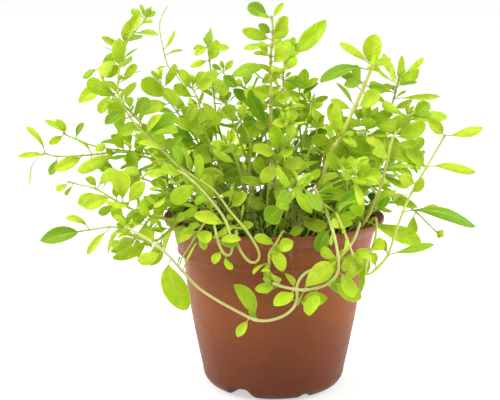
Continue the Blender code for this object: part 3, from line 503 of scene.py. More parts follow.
@dataclass(frozen=True)
class Habit:
    """How the plan's stems and leaves grow: widths, clearances and the spacing of pairs."""

    root_width: float = 1.5 * MM
    tip_width: float = 0.8 * MM
    leaf_thickness: float = 0.7 * MM
    leaf_slimness: float = 0.52
    stalk_share: float = 0.24
    stalk_width: float = 0.7 * MM
    clearance: float = 0.6 * MM
    least_leaf: float = 4.0 * MM
    node_length: float = 1.5 * MM
    pair_spacing: float = 15.0 * MM
    turns: tuple[int, ...] = (0, 30, -30, 60, -60, 100, -100)
    shrinks: tuple[float, ...] = (1.0, 0.82, 0.66)
    pushes: tuple[float, ...] = (0, 1.5, 3, 4.5, 6, 8, 10, 13)  # how far a blocked stem is shifted, in mm
    push_ways: tuple[Triple, ...] = ((0, 1, 0), (0, -1, 0), (0.7, 0, 0.5), (-0.7, 0, 0.5), (0, 0.5, 0.8))
    search_steps: int = 6  # how many millimetres up and down a blocked leaf looks for a place
    large_leaf: float = 22.0 * MM  # a leaf whose reach is shorter is fuller


HABIT = Habit()


class Stem:
    """A smooth route with its length, and a frame of axes carried along it without twist."""

    FINE = 8  # samples between two stops of the route

    def __init__(self, route: Sequence[Sequence[float]], roll: float) -> None:
        """Samples the route.

        Args:
            route: The stops, in millimetres, from the root to the tip.
            roll: How far the square section is turned about the heading at the root.
        """
        stops = [Vector(stop) * MM for stop in route]
        ends = [2 * stops[0] - stops[1], *stops, 2 * stops[-1] - stops[-2]]
        self.points = [
            along(ends[i : i + 4], step / self.FINE)
            for i in range(len(stops) - 1)
            for step in range(self.FINE)
        ]
        self.points.append(stops[-1])
        self.lengths = [0.0]
        for before, after in zip(self.points, self.points[1:]):
            self.lengths.append(self.lengths[-1] + (after - before).length)
        self.total = self.lengths[-1]
        self.sides: list[Vector] = []
        heading = self.heading(0)
        side = heading.orthogonal().normalized()
        side.rotate(Quaternion(heading, roll))
        for index in range(len(self.points)):
            ahead = self.heading(index)
            side.rotate(heading.rotation_difference(ahead))
            heading = ahead
            side = (side - heading * side.dot(heading)).normalized()
            self.sides.append(side.copy())

    def heading(self, index: int) -> Vector:
        """The direction of growth at a sample.

        Args:
            index: The number of the sample.

        Returns:
            The direction, of unit length.
        """
        before = self.points[max(index - 1, 0)]
        after = self.points[min(index + 1, len(self.points) - 1)]
        return (after - before).normalized()

    def place_of_stop(self, stop: float) -> float:
        """The length along the stem at a stop of its route, which may lie between two.

        Args:
            stop: The number of the stop, with a fraction between two.

        Returns:
            The length.
        """
        place = stop * self.FINE
        low = min(int(place), len(self.points) - 2)
        return self.lengths[low] + (place - low) * (self.lengths[low + 1] - self.lengths[low])

    def frame(self, place: float) -> tuple[Vector, Vector, Vector, Vector]:
        """The point, the heading and the two side axes at a length along the stem.

        Args:
            place: The length along the stem.

        Returns:
            The point and the three axes.
        """
        place = min(max(place, 0), self.total)
        index = next((i for i, length in enumerate(self.lengths) if length >= place), len(self.lengths) - 1)
        low = max(index - 1, 0)
        span = self.lengths[low + 1] - self.lengths[low]
        share = (place - self.lengths[low]) / span if span else 0
        point = self.points[low].lerp(self.points[low + 1], share)
        heading = self.heading(low).lerp(self.heading(low + 1), share).normalized()
        side = self.sides[low].lerp(self.sides[low + 1], share)
        side = (side - heading * side.dot(heading)).normalized()
        return point, heading, side, heading.cross(side)

    def width(self, place: float) -> float:
        """The planned width, which thins evenly from the root to the tip."""
        return HABIT.root_width + (HABIT.tip_width - HABIT.root_width) * place / self.total

    def ring(self, place: float, swell: float = 0.0) -> list[Vector]:
        """The four corners of the square stem at this length.

        Args:
            place: The length along the stem.
            swell: How far the corners stand out from the stem.

        Returns:
            The corners, counter-clockwise about the heading.
        """
        point, _, side, other = self.frame(place)
        half = self.width(place) / 2 + swell
        return [point + side * x * half + other * y * half for x, y in CORNERS]

    def outward(self, place: float, face: int) -> Vector:
        """The direction that a side face looks to; faces 0 and 2 are opposite, and so are 1 and 3."""
        _, _, side, other = self.frame(place)
        return (side, other, -side, -other)[face]

    def tube(self, swell: float) -> Shell:
        """Points and faces of the bare stem, for keeping others away from it.

        Args:
            swell: How far they stand out from the stem.

        Returns:
            The points and the faces.
        """
        steps = max(2, math.ceil(self.total / (3 * MM)))
        rings = [self.ring(self.total * step / steps, swell) for step in range(steps + 1)]
        ends = [(3, 2, 1, 0), tuple(4 * steps + i for i in range(4))]
        return [corner for ring in rings for corner in ring], ring_faces(steps + 1, 4).tolist() + ends


class Leaf:
    """A planned leaf: where it leaves its stem, where its tip is and which way its upper side looks."""

    def __init__(
        self,
        stem: Stem,
        place: float,
        face: int,
        reach: Vector,
        facing: Vector,
        slimness: float = HABIT.leaf_slimness,
    ) -> None:
        """Places a leaf.

        Args:
            stem: The stem that bears it.
            place: The length along the stem.
            face: The side face of the stem that it grows from.
            reach: From the middle of the stem to the tip of the leaf.
            facing: The direction that its upper side looks to.
            slimness: The width of the blade for the leaf's length.
        """
        point, _, _, _ = stem.frame(place)
        self.face = face
        self.place = place
        self.outward = stem.outward(place, face)
        self.root = point + self.outward * stem.width(place) / 2
        self.tip = point + reach
        self.length = (self.tip - self.root).length
        self.facing = facing
        self.width = self.length * slimness

    def centre(self, share: float) -> Vector:
        """A point on the midrib, which leaves the stem outwards and bends to the tip."""
        bend = self.root + self.outward * self.length * 0.25 + (self.tip - self.root) * 0.12
        return self.root * (1 - share) ** 2 + bend * 2 * share * (1 - share) + self.tip * share**2

    def axes(self, share: float) -> tuple[Vector, Vector, Vector]:
        """The heading, the sideways axis and the upper side's direction at a share of the midrib.

        Args:
            share: 0 at the stem and 1 at the tip.

        Returns:
            The three axes.
        """
        heading = (self.centre(min(share + 0.05, 1)) - self.centre(max(share - 0.05, 0))).normalized()
        across = self.facing.cross(heading)
        if across.length < 0.2:
            across = (self.facing + UP.cross(heading) * 0.5).cross(heading)
        across.normalize()
        return heading, across, heading.cross(across)

    def section(self, share: float, width: float, thickness: float) -> list[Vector]:
        """Four corners across the leaf, counter-clockwise about its heading.

        Args:
            share: 0 at the stem and 1 at the tip.
            width: How wide the section is.
            thickness: How thick it is.

        Returns:
            The corners.
        """
        centre = self.centre(share)
        _, across, upper = self.axes(share)
        return [centre + across * x * width / 2 + upper * y * thickness / 2 for x, y in CORNERS]

    def shell(self, swell: float) -> Shell:
        """Points and faces of the plain leaf beyond its stalk, for keeping others away from it.

        Args:
            swell: How much wider and thicker than the leaf it is.

        Returns:
            The points and the faces.
        """
        stalk = self.section(HABIT.stalk_share, HABIT.stalk_width + swell, HABIT.stalk_width * 0.8 + swell)
        blade = self.section(0.62, self.width + swell, HABIT.leaf_thickness + swell)
        _, _, upper = self.axes(1)
        tip = self.tip + (self.tip - self.root).normalized() * swell / 2
        half = upper * HABIT.leaf_thickness / 2
        ends = [(3, 2, 1, 0), (4, 5, 8, 9), (5, 6, 8), (6, 7, 9, 8), (7, 4, 9)]
        return [*stalk, *blade, tip + half, tip - half], ring_faces(2, 4).tolist() + ends


class Surroundings:
    """The pot and what has been placed so far, to keep new stems and leaves clear of it."""

    def __init__(self) -> None:
        """Starts with the walls of the pot."""
        self.pieces: list[tuple[list[float], list[float], BVHTree]] = []
        for points, faces in POT_SHAPE.walls():
            self.add(points, faces)

    def add(self, points: Iterable, faces: Sequence) -> None:
        """Keeps a piece, with its lowest and highest corners.

        Args:
            points: The points of the piece.
            faces: Its faces, as indices of the points.
        """
        rows = np.array([tuple(point) for point in points])
        tree = BVHTree.FromPolygons(rows.tolist(), faces)
        self.pieces.append((rows.min(0).tolist(), rows.max(0).tolist(), tree))

    def take(self, points: Iterable, faces: Sequence) -> bool:
        """Keeps a piece if it touches none of the kept ones.

        Args:
            points: The points of the piece.
            faces: Its faces, as indices of the points.

        Returns:
            Whether it was kept.
        """
        self.add(points, faces)
        low, high, tree = self.pieces.pop()
        for other_low, other_high, other_tree in self.pieces:
            apart = any(high[i] < other_low[i] or low[i] > other_high[i] for i in range(3))
            if not apart and tree.overlap(other_tree):
                return False
        self.pieces.append((low, high, tree))
        return True


class Shoot:
    """A stem with its planned leaves, grown clear of what stands around it."""

    def __init__(
        self, name: str, route: Sequence[Sequence[float]], roll: float, surroundings: Surroundings
    ) -> None:
        """Finds a clear stem for the shoot.

        Args:
            name: The node that the shoot replaces.
            route: The stops of its stem, in millimetres.
            roll: How far its square section is turned.
            surroundings: What already stands around it.
        """
        self.name = name
        self.surroundings = surroundings
        self.leaves: list[Leaf] = []
        self.stated = 0  # how many of the leaves the plan states one by one
        self.luck = random.Random(name)
        self.stem = self.clear_stem(route, roll)

    def clear_stem(self, route: Sequence[Sequence[float]], roll: float) -> Stem:
        """The stem on the first of several slightly shifted routes that touches nothing.

        Args:
            route: The stops of the stem, in millimetres.
            roll: How far its square section is turned.

        Returns:
            The stem, which is then part of the surroundings.

        Raises:
            ValueError: If no route is clear.
        """
        for push in HABIT.pushes:
            for way in HABIT.push_ways:
                shift = Vector(way) * push
                moved = [Vector(stop) + shift for stop in route]
                moved[0] = Vector(route[0]) + Vector((shift.x, shift.y, 0)) * 0.5
                moved[-1] = Vector(route[-1]) + shift * 0.4
                stem = Stem(moved, roll)
                if self.surroundings.take(*stem.tube(HABIT.clearance)):
                    return stem
        raise ValueError(self.name + " finds no clear route")

    def taken(self, place: float, face: int) -> bool:
        """Whether a leaf already grows here, or too near to give both their own piece of stem.

        Args:
            place: The length along the stem.
            face: The side face of the stem.

        Returns:
            Whether it's taken.
        """
        for leaf in self.leaves:
            apart = abs(leaf.place - place)
            if apart < 1e-6 and leaf.face == face or 1e-6 < apart < HABIT.node_length * 1.5:
                return True
        return False

    def free_place(self, place: float, face: int) -> float | None:
        """The nearest place on the stem that can bear a leaf on a face.

        Args:
            place: Where the leaf would best be.
            face: The side face of the stem.

        Returns:
            The place, or None if there is none near.
        """
        first = HABIT.node_length
        last = self.stem.total - HABIT.node_length
        shared = [leaf.place for leaf in self.leaves if abs(leaf.place - place) < HABIT.node_length * 1.6]
        steps = range(1, HABIT.search_steps + 1)
        shifts = [0] + [sign * step * MM for step in steps for sign in (1, -1)]
        for candidate in shared + [place + shift for shift in shifts]:
            if first <= candidate <= last and not self.taken(candidate, face):
                return candidate
        return None

    def best_face(self, place: float, reach: Vector) -> int:
        """The side face that looks most nearly where the leaf goes."""
        return max(range(4), key=lambda face: self.stem.outward(place, face).dot(reach))

    def grow(
        self, place: float, reach: Vector, facing: Vector, slimness: float = HABIT.leaf_slimness
    ) -> None:
        """Adds a leaf if it fits, turned or shrunk where it must be to stay clear.

        Args:
            place: The length along the stem.
            reach: From the middle of the stem to the tip of the leaf.
            facing: The direction that its upper side looks to.
            slimness: The width of the blade for the leaf's length.
        """
        place = min(max(place, HABIT.node_length), self.stem.total - HABIT.node_length)
        face = self.best_face(place, reach)
        place = self.free_place(place, face)
        if place is None:
            return
        for shrink in HABIT.shrinks:
            for turn in HABIT.turns:
                leaf = Leaf(self.stem, place, face, reach * shrink, turned(facing, reach, turn), slimness)
                fits = leaf.length > HABIT.least_leaf
                if fits and self.surroundings.take(*leaf.shell(HABIT.clearance)):
                    self.leaves.append(leaf)
                    return

    def grow_own_leaves(self, leaves: Iterable[Sequence[float]]) -> None:
        """Grows the leaves that the plan states one by one.

        Args:
            leaves: For each, its stop, its reach along X, Y and Z and perhaps its width, in millimetres.
        """
        for stop, x, y, z, *width in leaves:
            reach = Vector((x, y, z)) * MM
            facing = FRONT * 0.8 + UP * 0.6 + sway(self.luck, 0.35)
            fuller = 1.1 if reach.length < HABIT.large_leaf else 0.8
            slimness = HABIT.leaf_slimness * self.luck.uniform(0.85, 1.15) * fuller
            if width:
                slimness = width[0] * MM / reach.length
            self.grow(self.stem.place_of_stop(stop), reach, facing, slimness)
        self.stated = len(self.leaves)

    def grow_pairs(self, bare: float, length: float) -> None:
        """Grows opposite pairs, each turned a quarter from the one below, smaller towards the tip.

        Args:
            bare: The length of stem below the first pair.
            length: The usual length of a leaf.
        """
        spacing = HABIT.pair_spacing
        count = int((self.stem.total - bare) / spacing)
        for pair in range(count + 1):
            place = self.stem.total - HABIT.node_length - (count - pair) * spacing
            share = place / self.stem.total
            size = length * (1.15 - 0.6 * share**3) * self.luck.uniform(0.8, 1.15)
            point, heading, _, _ = self.stem.frame(place)
            radial = outwards(point)
            for face in PAIRS[pair % 2]:
                outward = self.stem.outward(place, face)
                reach = (outward + heading * self.luck.uniform(0.25, 0.7) + radial * 0.2).normalized()
                reach.z += self.luck.uniform(-0.25, 0.1)
                facing = heading * 0.5 + UP * 0.6 + radial * 0.5 + sway(self.luck, 0.3)
                self.grow(place, reach.normalized() * size, facing)


class GrowthPlan:
    """All shoots as the frame has them: every stem first, then the stated leaves, then the pairs."""

    def __init__(self) -> None:
        """Grows the whole plan."""
        surroundings = Surroundings()
        grown: list[tuple[Shoot, float, float]] = []
        for plan in OWN_PLANS:
            grown.append((Shoot(plan.name, plan.route, 0.4, surroundings), plan.bare * MM, 15 * MM))
        for ring in RING_PLANS:
            for number in range(ring.count):
                angle = math.radians(ring.start_angle + 360 * number / ring.count)
                luck = random.Random(ring.name + str(number))
                route = self.ring_route(ring, angle, luck)
                shoot = Shoot(f"{ring.name}_{number + 1}", route, luck.uniform(0, 1.5), surroundings)
                grown.append((shoot, shoot.stem.total * 0.3, ring.leaf_length * MM))
        for (shoot, _, _), plan in zip(grown, OWN_PLANS):
            shoot.grow_own_leaves(plan.leaves)
        for shoot, bare, length in grown:
            shoot.grow_pairs(bare, length)
        self.shoots = [shoot for shoot, _, _ in grown]

    @staticmethod
    def ring_route(ring: RingPlan, angle: float, luck: random.Random) -> list[tuple[float, ...]]:
        """The route of a plainer shoot: up out of the mix, then bending outwards to its tip.

        Args:
            ring: The ring that the shoot belongs to.
            angle: Where its root is, turned from the front towards +X.
            luck: The draws for this shoot.

        Returns:
            The stops, in millimetres.
        """
        root_radius = ring.root_radius * luck.uniform(0.85, 1.1)
        tip_angle = angle + luck.uniform(-0.22, 0.22)
        start = at_angle(root_radius, POT_SHAPE.soil_crown + 0.5, angle)
        tip_radius = ring.tip_radius * luck.uniform(0.88, 1.1)
        tip = at_angle(tip_radius, ring.tip_height * luck.uniform(0.94, 1.06), tip_angle)
        bend = sway(luck, 5)
        knee = start.lerp(tip, 0.25) + bend
        crest = start.lerp(tip, 0.62) - bend * 0.6
        over_lip = POT_SHAPE.height + 7
        knee.z = max(start.z + (tip.z - start.z) * 0.42, over_lip)
        crest.z = max(start.z + (tip.z - start.z) * 0.8, over_lip + 1)
        return [tuple(start), tuple(knee), tuple(crest), tuple(tip)]


class Skin:
    """The points and four-sided faces gathered for one piece, with what its finish needs to know."""

    def __init__(self) -> None:
        """Starts empty."""
        self.points: list[np.ndarray] = []
        self.faces: list[np.ndarray] = []
        self.places: list[np.ndarray] = []
        self.kinds: list[np.ndarray] = []
        self.count = 0

    def add(self, points: np.ndarray, faces: np.ndarray, places: np.ndarray, kind: Sequence[float]) -> None:
        """Adds one closed shape.

        Args:
            points: Its points, one a row.
            faces: Its faces, four indices a row.
            places: For every point, three numbers that say where on the shape it is.
            kind: Three numbers for the whole shape.
        """
        self.points.append(points)
        self.faces.append(faces + self.count)
        self.places.append(places)
        self.kinds.append(np.tile(np.asarray(kind, float), (len(points), 1)))
        self.count += len(points)

    def make(self, name: str, finish: Material, slot: Slot, edge: Edge, node: str = "") -> None:
        """Makes the piece.

        Args:
            name: The name of the piece.
            finish: Its material.
            slot: The record's slot that the finish belongs to.
            edge: Which of its edges stay sharp.
            node: The CAD node that it stands for, if it stands for one.
        """
        mesh = bpy.data.meshes.new(name)
        mesh.from_pydata(np.concatenate(self.points).tolist(), [], np.concatenate(self.faces).tolist())
        store(mesh, "place", np.concatenate(self.places))
        store(mesh, "kind", np.concatenate(self.kinds))
        add_piece(name, mesh, finish, slot, edge, node)


def store(mesh: Mesh, label: str, rows: np.ndarray) -> None:
    """Stores three numbers for each point of a mesh, which its finish reads."""
    values = mesh.attributes.new(label, "FLOAT_VECTOR", "POINT")
    values.data.foreach_set("vector", rows.astype(np.float32).ravel())


def add_piece(name: str, mesh: Mesh, finish: Material, slot: Slot, edge: Edge, node: str) -> None:
    """Dresses a mesh, puts it on the part as a piece and reports it.

    Args:
        name: The name of the piece.
        mesh: Its shape.
        finish: Its material.
        slot: The record's slot that the finish belongs to; it is not used.
        edge: Which of its edges stay sharp.
        node: The CAD node that it stands for, or nothing.
    """
    mesh.materials.append(finish)
    mesh.shade_smooth()
    mesh.set_sharp_from_angle(angle=math.radians(edge.value))
    piece = bpy.data.objects.new(name, mesh)
    bpy.context.scene.collection.objects.link(piece)
    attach(piece, BODY)
    if node:
        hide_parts(node)
    LOG.info("%s: %d faces", name, len(mesh.polygons))


def turned_mesh(name: str, rings: np.ndarray, ends: Iterable[Sequence[float]]) -> Mesh:
    """A closed mesh of rings about the pot's axis.

    Args:
        name: The name of the mesh.
        rings: The points of every ring, counter-clockwise about the way they follow each other.
        ends: The middle of the first ring and of the last.

    Returns:
        The mesh.
    """
    count, sides = rings.shape[:2]
    first = count * sides
    low = first - sides
    faces = ring_faces(count, sides).tolist()
    faces += [(first, (side + 1) % sides, side) for side in range(sides)]
    faces += [(first + 1, low + side, low + (side + 1) % sides) for side in range(sides)]
    mesh = bpy.data.meshes.new(name)
    mesh.from_pydata([*rings.reshape(-1, 3).tolist(), *ends], [], faces)
    return mesh


def loft_faces(sections: int, corners: int) -> np.ndarray:
    """Faces of a closed tube whose sections have an even number of corners.

    Args:
        sections: How many cross sections there are, one after the other.
        corners: How many points each section has, counter-clockwise about the way it runs.

    Returns:
        Four indices a row.
    """
    end = np.array([(i, i + 1, corners - i - 2, corners - i - 1) for i in range(corners // 2 - 1)])
    return np.concatenate([ring_faces(sections, corners), end[:, ::-1], end + corners * (sections - 1)])


class LeafGrid:
    """How finely a leaf is divided, and the template that all such leaves share."""

    def __init__(self, stalk_rows: int, blade_rows: int, columns: Sequence[float], start: float) -> None:
        """Lays out the template.

        Args:
            stalk_rows: Sections along the stalk.
            blade_rows: Sections along the blade.
            columns: Places across the leaf, from one margin, 1, to the other, -1.
            start: The share of the leaf's length at which the template starts.
        """
        share = LeafSkin.STALK
        stalk = np.linspace(start, share, stalk_rows, endpoint=False)
        turn = np.linspace(0.04, 1, blade_rows) * math.pi
        blade = share + (1 - share) * (1 - np.cos(turn)) / 2 * 0.998
        self.shares = np.concatenate([stalk, blade])
        top = np.array(columns)
        self.across = np.concatenate([top, top[-2:0:-1]])
        self.side = np.concatenate([np.ones(len(top)), -np.ones(len(top) - 2)])
        self.side[0] = 0
        self.side[len(top) - 1] = 0
        self.faces = loft_faces(len(self.shares), len(self.across))


class Curl(Enum):
    """How a blade is shaped across: how far its halves fold up, and how much its margins curl."""

    FLAT = (0.06, -0.04)
    FOLDED = (0.38, -0.08)
    CUPPED = (0.10, 0.26)
    ARCHED = (0.16, -0.30)


@dataclass(frozen=True)
class BladeForm:
    """The shape of one blade."""

    width: float  # for the planned width
    base: float  # a higher power tapers the base of the blade more
    tip: float
    curl: Curl
    arch: float  # how far the midrib bows up, for the leaf's length
    droop: float  # how far the tip bends down, for the leaf's length
    wave: float
    phase: float
    twist: float
    lean: float  # how much the upper side turns up towards the light, from 0 to 1
    roll: float

    @classmethod
    def draw(cls, luck: random.Random, calm: bool = False) -> "BladeForm":
        """Draws a form by chance.

        Args:
            luck: The draws.
            calm: Whether the blade keeps near the planned way that it looks.

        Returns:
            The form, widest past its middle, with folded and cupped blades the most common.
        """
        ease = 0.3 if calm else 1.0
        return cls(
            width=luck.uniform(0.80, 1.04),
            base=luck.uniform(0.80, 1.45),
            tip=luck.uniform(0.42, 0.76),
            curl=luck.choices(list(Curl), weights=(2, 4, 3, 2))[0],
            arch=luck.uniform(-0.02, 0.10),
            droop=luck.uniform(-0.06, 0.16) * ease,
            wave=luck.uniform(0.0, 0.09),
            phase=luck.uniform(0, math.tau),
            twist=luck.uniform(-0.45, 0.45) * ease,
            lean=luck.uniform(0.0, 0.6) * ease,
            roll=luck.gauss(0, 0.36) * ease,
        )

    def drawn_out(self, slimness: float) -> "BladeForm":
        """The form for a leaf of this slimness: a long thin one narrows into its stalk and bows up."""
        base = max(self.base, 0.3 / slimness)
        return replace(self, base=base, arch=self.arch + min(0.16, max(0.0, 0.4 - slimness)))


class LeafSkin:
    """The fine shape of a planned leaf: a stalk that widens into a thin, veined, curled blade."""

    STALK = 0.17  # share of the leaf's length that is stalk
    STALK_WIDTH = 0.62 * MM
    THICKNESS = 0.26 * MM
    RIB = 0.30 * MM  # how far the midrib stands out below
    RIB_SHARE = 0.13  # half of its width, for the half width of the blade

    def __init__(self, leaf: Leaf, form: BladeForm) -> None:
        """Takes a planned leaf.

        Args:
            leaf: Where the leaf is.
            form: The shape of its blade.
        """
        self.leaf = leaf
        self.form = form
        self.half = leaf.width * form.width / 2
        heading, _, upper = leaf.axes(0.6)
        light = UP - heading * UP.dot(heading)
        towards = math.atan2(upper.cross(light).dot(heading), upper.dot(light))
        self.roll = towards * form.lean + form.roll

    def half_widths(self, blade: np.ndarray) -> np.ndarray:
        """Half of the blade's width, for shares of the blade from its base to its tip.

        Args:
            blade: Shares of the blade, 0 at its base and 1 at its tip.

        Returns:
            Half of the width at each.
        """
        base, tip = self.form.base, self.form.tip
        peak = base / (base + tip)
        most = peak**base * (1 - peak) ** tip
        inside = np.clip(blade, 0, 1)
        return self.half * inside**base * (1 - inside) ** tip / most

    def points(self, grid: LeafGrid) -> tuple[np.ndarray, np.ndarray]:
        """The points of the leaf and where each lies on it.

        Args:
            grid: How finely it is divided.

        Returns:
            The points, and for each its share of the blade, its place across and its side.
        """
        shares = grid.shares
        blade = (shares - self.STALK) / (1 - self.STALK)
        small = min(1.0, self.leaf.length / (14 * MM))
        stalk = self.STALK_WIDTH * (0.6 + 0.4 * small) / 2
        taper = np.clip(1 - blade, 0, 1) ** 0.5
        half = np.maximum(stalk * taper, self.half_widths(blade))
        flat = np.clip((half - stalk) / (2.5 * stalk), 0, 1)
        across = grid.across[None, :]
        curve = np.abs(across)
        fold, cup = self.form.curl.value
        lift = fold * (np.sqrt(across**2 + 0.02) - 0.14) + cup * across**2
        lift = lift + self.form.wave * curve**1.5 * np.sin(blade[:, None] * 9 + self.form.phase + across)
        lift = lift * half[:, None] * flat[:, None]
        rounded = np.sqrt(np.clip(1 - across**2, 0, 1))
        thin = self.THICKNESS * (0.55 + 0.45 * small) / 2 * (1 - curve**6)
        solid = stalk * 0.85 * rounded
        thick = solid * (1 - flat[:, None]) + thin * flat[:, None]
        rib = self.RIB * small * taper[:, None] * np.exp(-((curve / self.RIB_SHARE) ** 2)) * flat[:, None]
        height = lift + np.where(grid.side > 0, thick - rib * 0.35, -thick - rib)
        height = np.where(grid.side == 0, lift, height)
        rows = []
        for share, low_half, raised in zip(shares, half, height):
            centre, sideways, upper = self.frame(float(share))
            flat_points = centre[None, :] + sideways[None, :] * (grid.across * low_half)[:, None]
            rows.append(flat_points + upper[None, :] * raised[:, None])
        places = np.empty((len(shares), len(grid.across), 3))
        places[..., 0] = blade[:, None]
        places[..., 1] = grid.across
        places[..., 2] = np.where(grid.side < 0, 1.0, 0.0)
        return np.concatenate(rows), places.reshape(-1, 3)

    def frame(self, share: float) -> tuple[np.ndarray, np.ndarray, np.ndarray]:
        """The midrib's point, the sideways axis and the upper axis, with the blade's twist and arch.

        Args:
            share: 0 at the stem and 1 at the tip.

        Returns:
            The point and the two axes.
        """
        heading, sideways, upper = self.leaf.axes(share)
        turn = Quaternion(heading, self.roll * min(1.0, share * 3) + self.form.twist * share)
        sideways = turn @ sideways
        upper = turn @ upper
        held = min(max(share, 0), 1)
        bow = (self.form.arch * math.sin(math.pi * held) - self.form.droop * held**3) * self.leaf.length
        centre = self.leaf.centre(share) + upper * bow
        return np.array(centre), np.array(sideways), np.array(upper)

    def shell(self) -> tuple[np.ndarray, list[list[int]]]:
        """Points and faces of the leaf at its coarsest, for keeping others away from it."""
        return self.points(COARSE_LEAF)[0], COARSE_LEAF.faces.tolist()

    def add_to(self, skin: Skin, kind: Sequence[float], small_under: float) -> None:
        """Adds the leaf to a piece.

        Args:
            skin: The piece.
            kind: How yellow the leaf is, how old it looks and how deep in the plant it is, which gives it
                painted shade.
            small_under: A leaf shorter than this is divided less finely.
        """
        grid = SMALL_LEAF if self.leaf.length < small_under else FINE_LEAF
        points, places = self.points(grid)
        skin.add(points, grid.faces, places, kind)


MARGIN_TO_MARGIN = (1, 0.84, 0.58, 0.24, 0, -0.24, -0.58, -0.84, -1)
FINE_LEAF = LeafGrid(3, 12, MARGIN_TO_MARGIN, -0.05)
SMALL_LEAF = LeafGrid(2, 8, (1, 0.62, 0, -0.62, -1), -0.05)
COARSE_LEAF = LeafGrid(1, 6, (1, 0, -1), 0.12)


class StemSkin:
    """The fine shape of a stem: square with rounded corners, thicker at its nodes and at its foot."""

    CORNERS = 12
    STEP = 2.2 * MM
    BELOW = 3.0 * MM  # how far it goes down into the mix
    FOOT_SWELL = 0.25
    FOOT_REACH = 6.0 * MM
    NODE_SWELL = 0.32
    NODE_REACH = 1.1 * MM
    SQUARE = 3.2  # a power of 2 would be round

    def __init__(self, stem: Stem, nodes: Sequence[float], girth: float, taper: float) -> None:
        """Takes a planned stem.

        Args:
            stem: The route and its axes.
            nodes: The lengths at which it bears leaves.
            girth: Its width for the planned width.
            taper: 1 keeps the planned taper, and 0 keeps the root's width.
        """
        self.stem = stem
        self.nodes = np.array(sorted(set(nodes))) if nodes else np.array([stem.total])
        self.girth = girth
        self.taper = taper

    def half(self, place: float) -> float:
        """Half of the width at a length along the stem.

        Args:
            place: The length along the stem.

        Returns:
            Half of the width.
        """
        root = HABIT.root_width
        planned = root + (self.stem.width(place) - root) * self.taper
        near = float(np.abs(self.nodes - place).min())
        swell = 1 + self.NODE_SWELL * math.exp(-((near / self.NODE_REACH) ** 2))
        foot = 1 + self.FOOT_SWELL * math.exp(-max(place, 0) / self.FOOT_REACH)
        end = min(1.0, 0.35 + max(self.stem.total - place, 0) / (1.6 * MM))
        return planned * self.girth * swell * foot * end / 2

    def places(self) -> list[float]:
        """Lengths for the rings: even steps, with more about each node.

        Returns:
            The lengths, root to tip.
        """
        steps = max(6, round(self.stem.total / self.STEP))
        even = [self.stem.total * i / steps for i in range(steps + 1)]
        about = [node + shift * self.NODE_REACH for node in self.nodes for shift in (-1.2, 0, 1.2)]
        found: list[float] = []
        for place in sorted(even + [spot for spot in about if 0 < spot < self.stem.total]):
            if not found or place - found[-1] > 0.4 * MM:
                found.append(place)
        return found

    def add_to(self, skin: Skin, kind: Sequence[float]) -> None:
        """Adds the stem to a piece.

        Args:
            skin: The piece.
            kind: How yellow it is, how much its lower part is flushed red and how pale it is.
        """
        turns = np.linspace(0, math.tau, self.CORNERS, endpoint=False) + math.pi / self.CORNERS
        ring = np.stack([np.cos(turns), np.sin(turns)], 1)
        ring /= (np.abs(ring) ** self.SQUARE).sum(1, keepdims=True) ** (1 / self.SQUARE)
        rows = []
        places = []
        for place in [-self.BELOW, *self.places()]:
            point, heading, side, other = self.stem.frame(place)
            if place < 0:
                point = point + heading * place
            half = self.half(place)
            spread = ring[:, :1] * np.array(side) + ring[:, 1:] * np.array(other)
            rows.append(np.array(point) + spread * half)
            near = float(np.abs(self.nodes - place).min())
            here = np.empty((self.CORNERS, 3))
            here[:, 0] = place / self.stem.total
            here[:, 1] = min(near / (4 * MM), 1)
            here[:, 2] = turns / math.tau
            places.append(here)
        faces = loft_faces(len(rows), self.CORNERS)
        skin.add(np.concatenate(rows), faces, np.concatenate(places), kind)


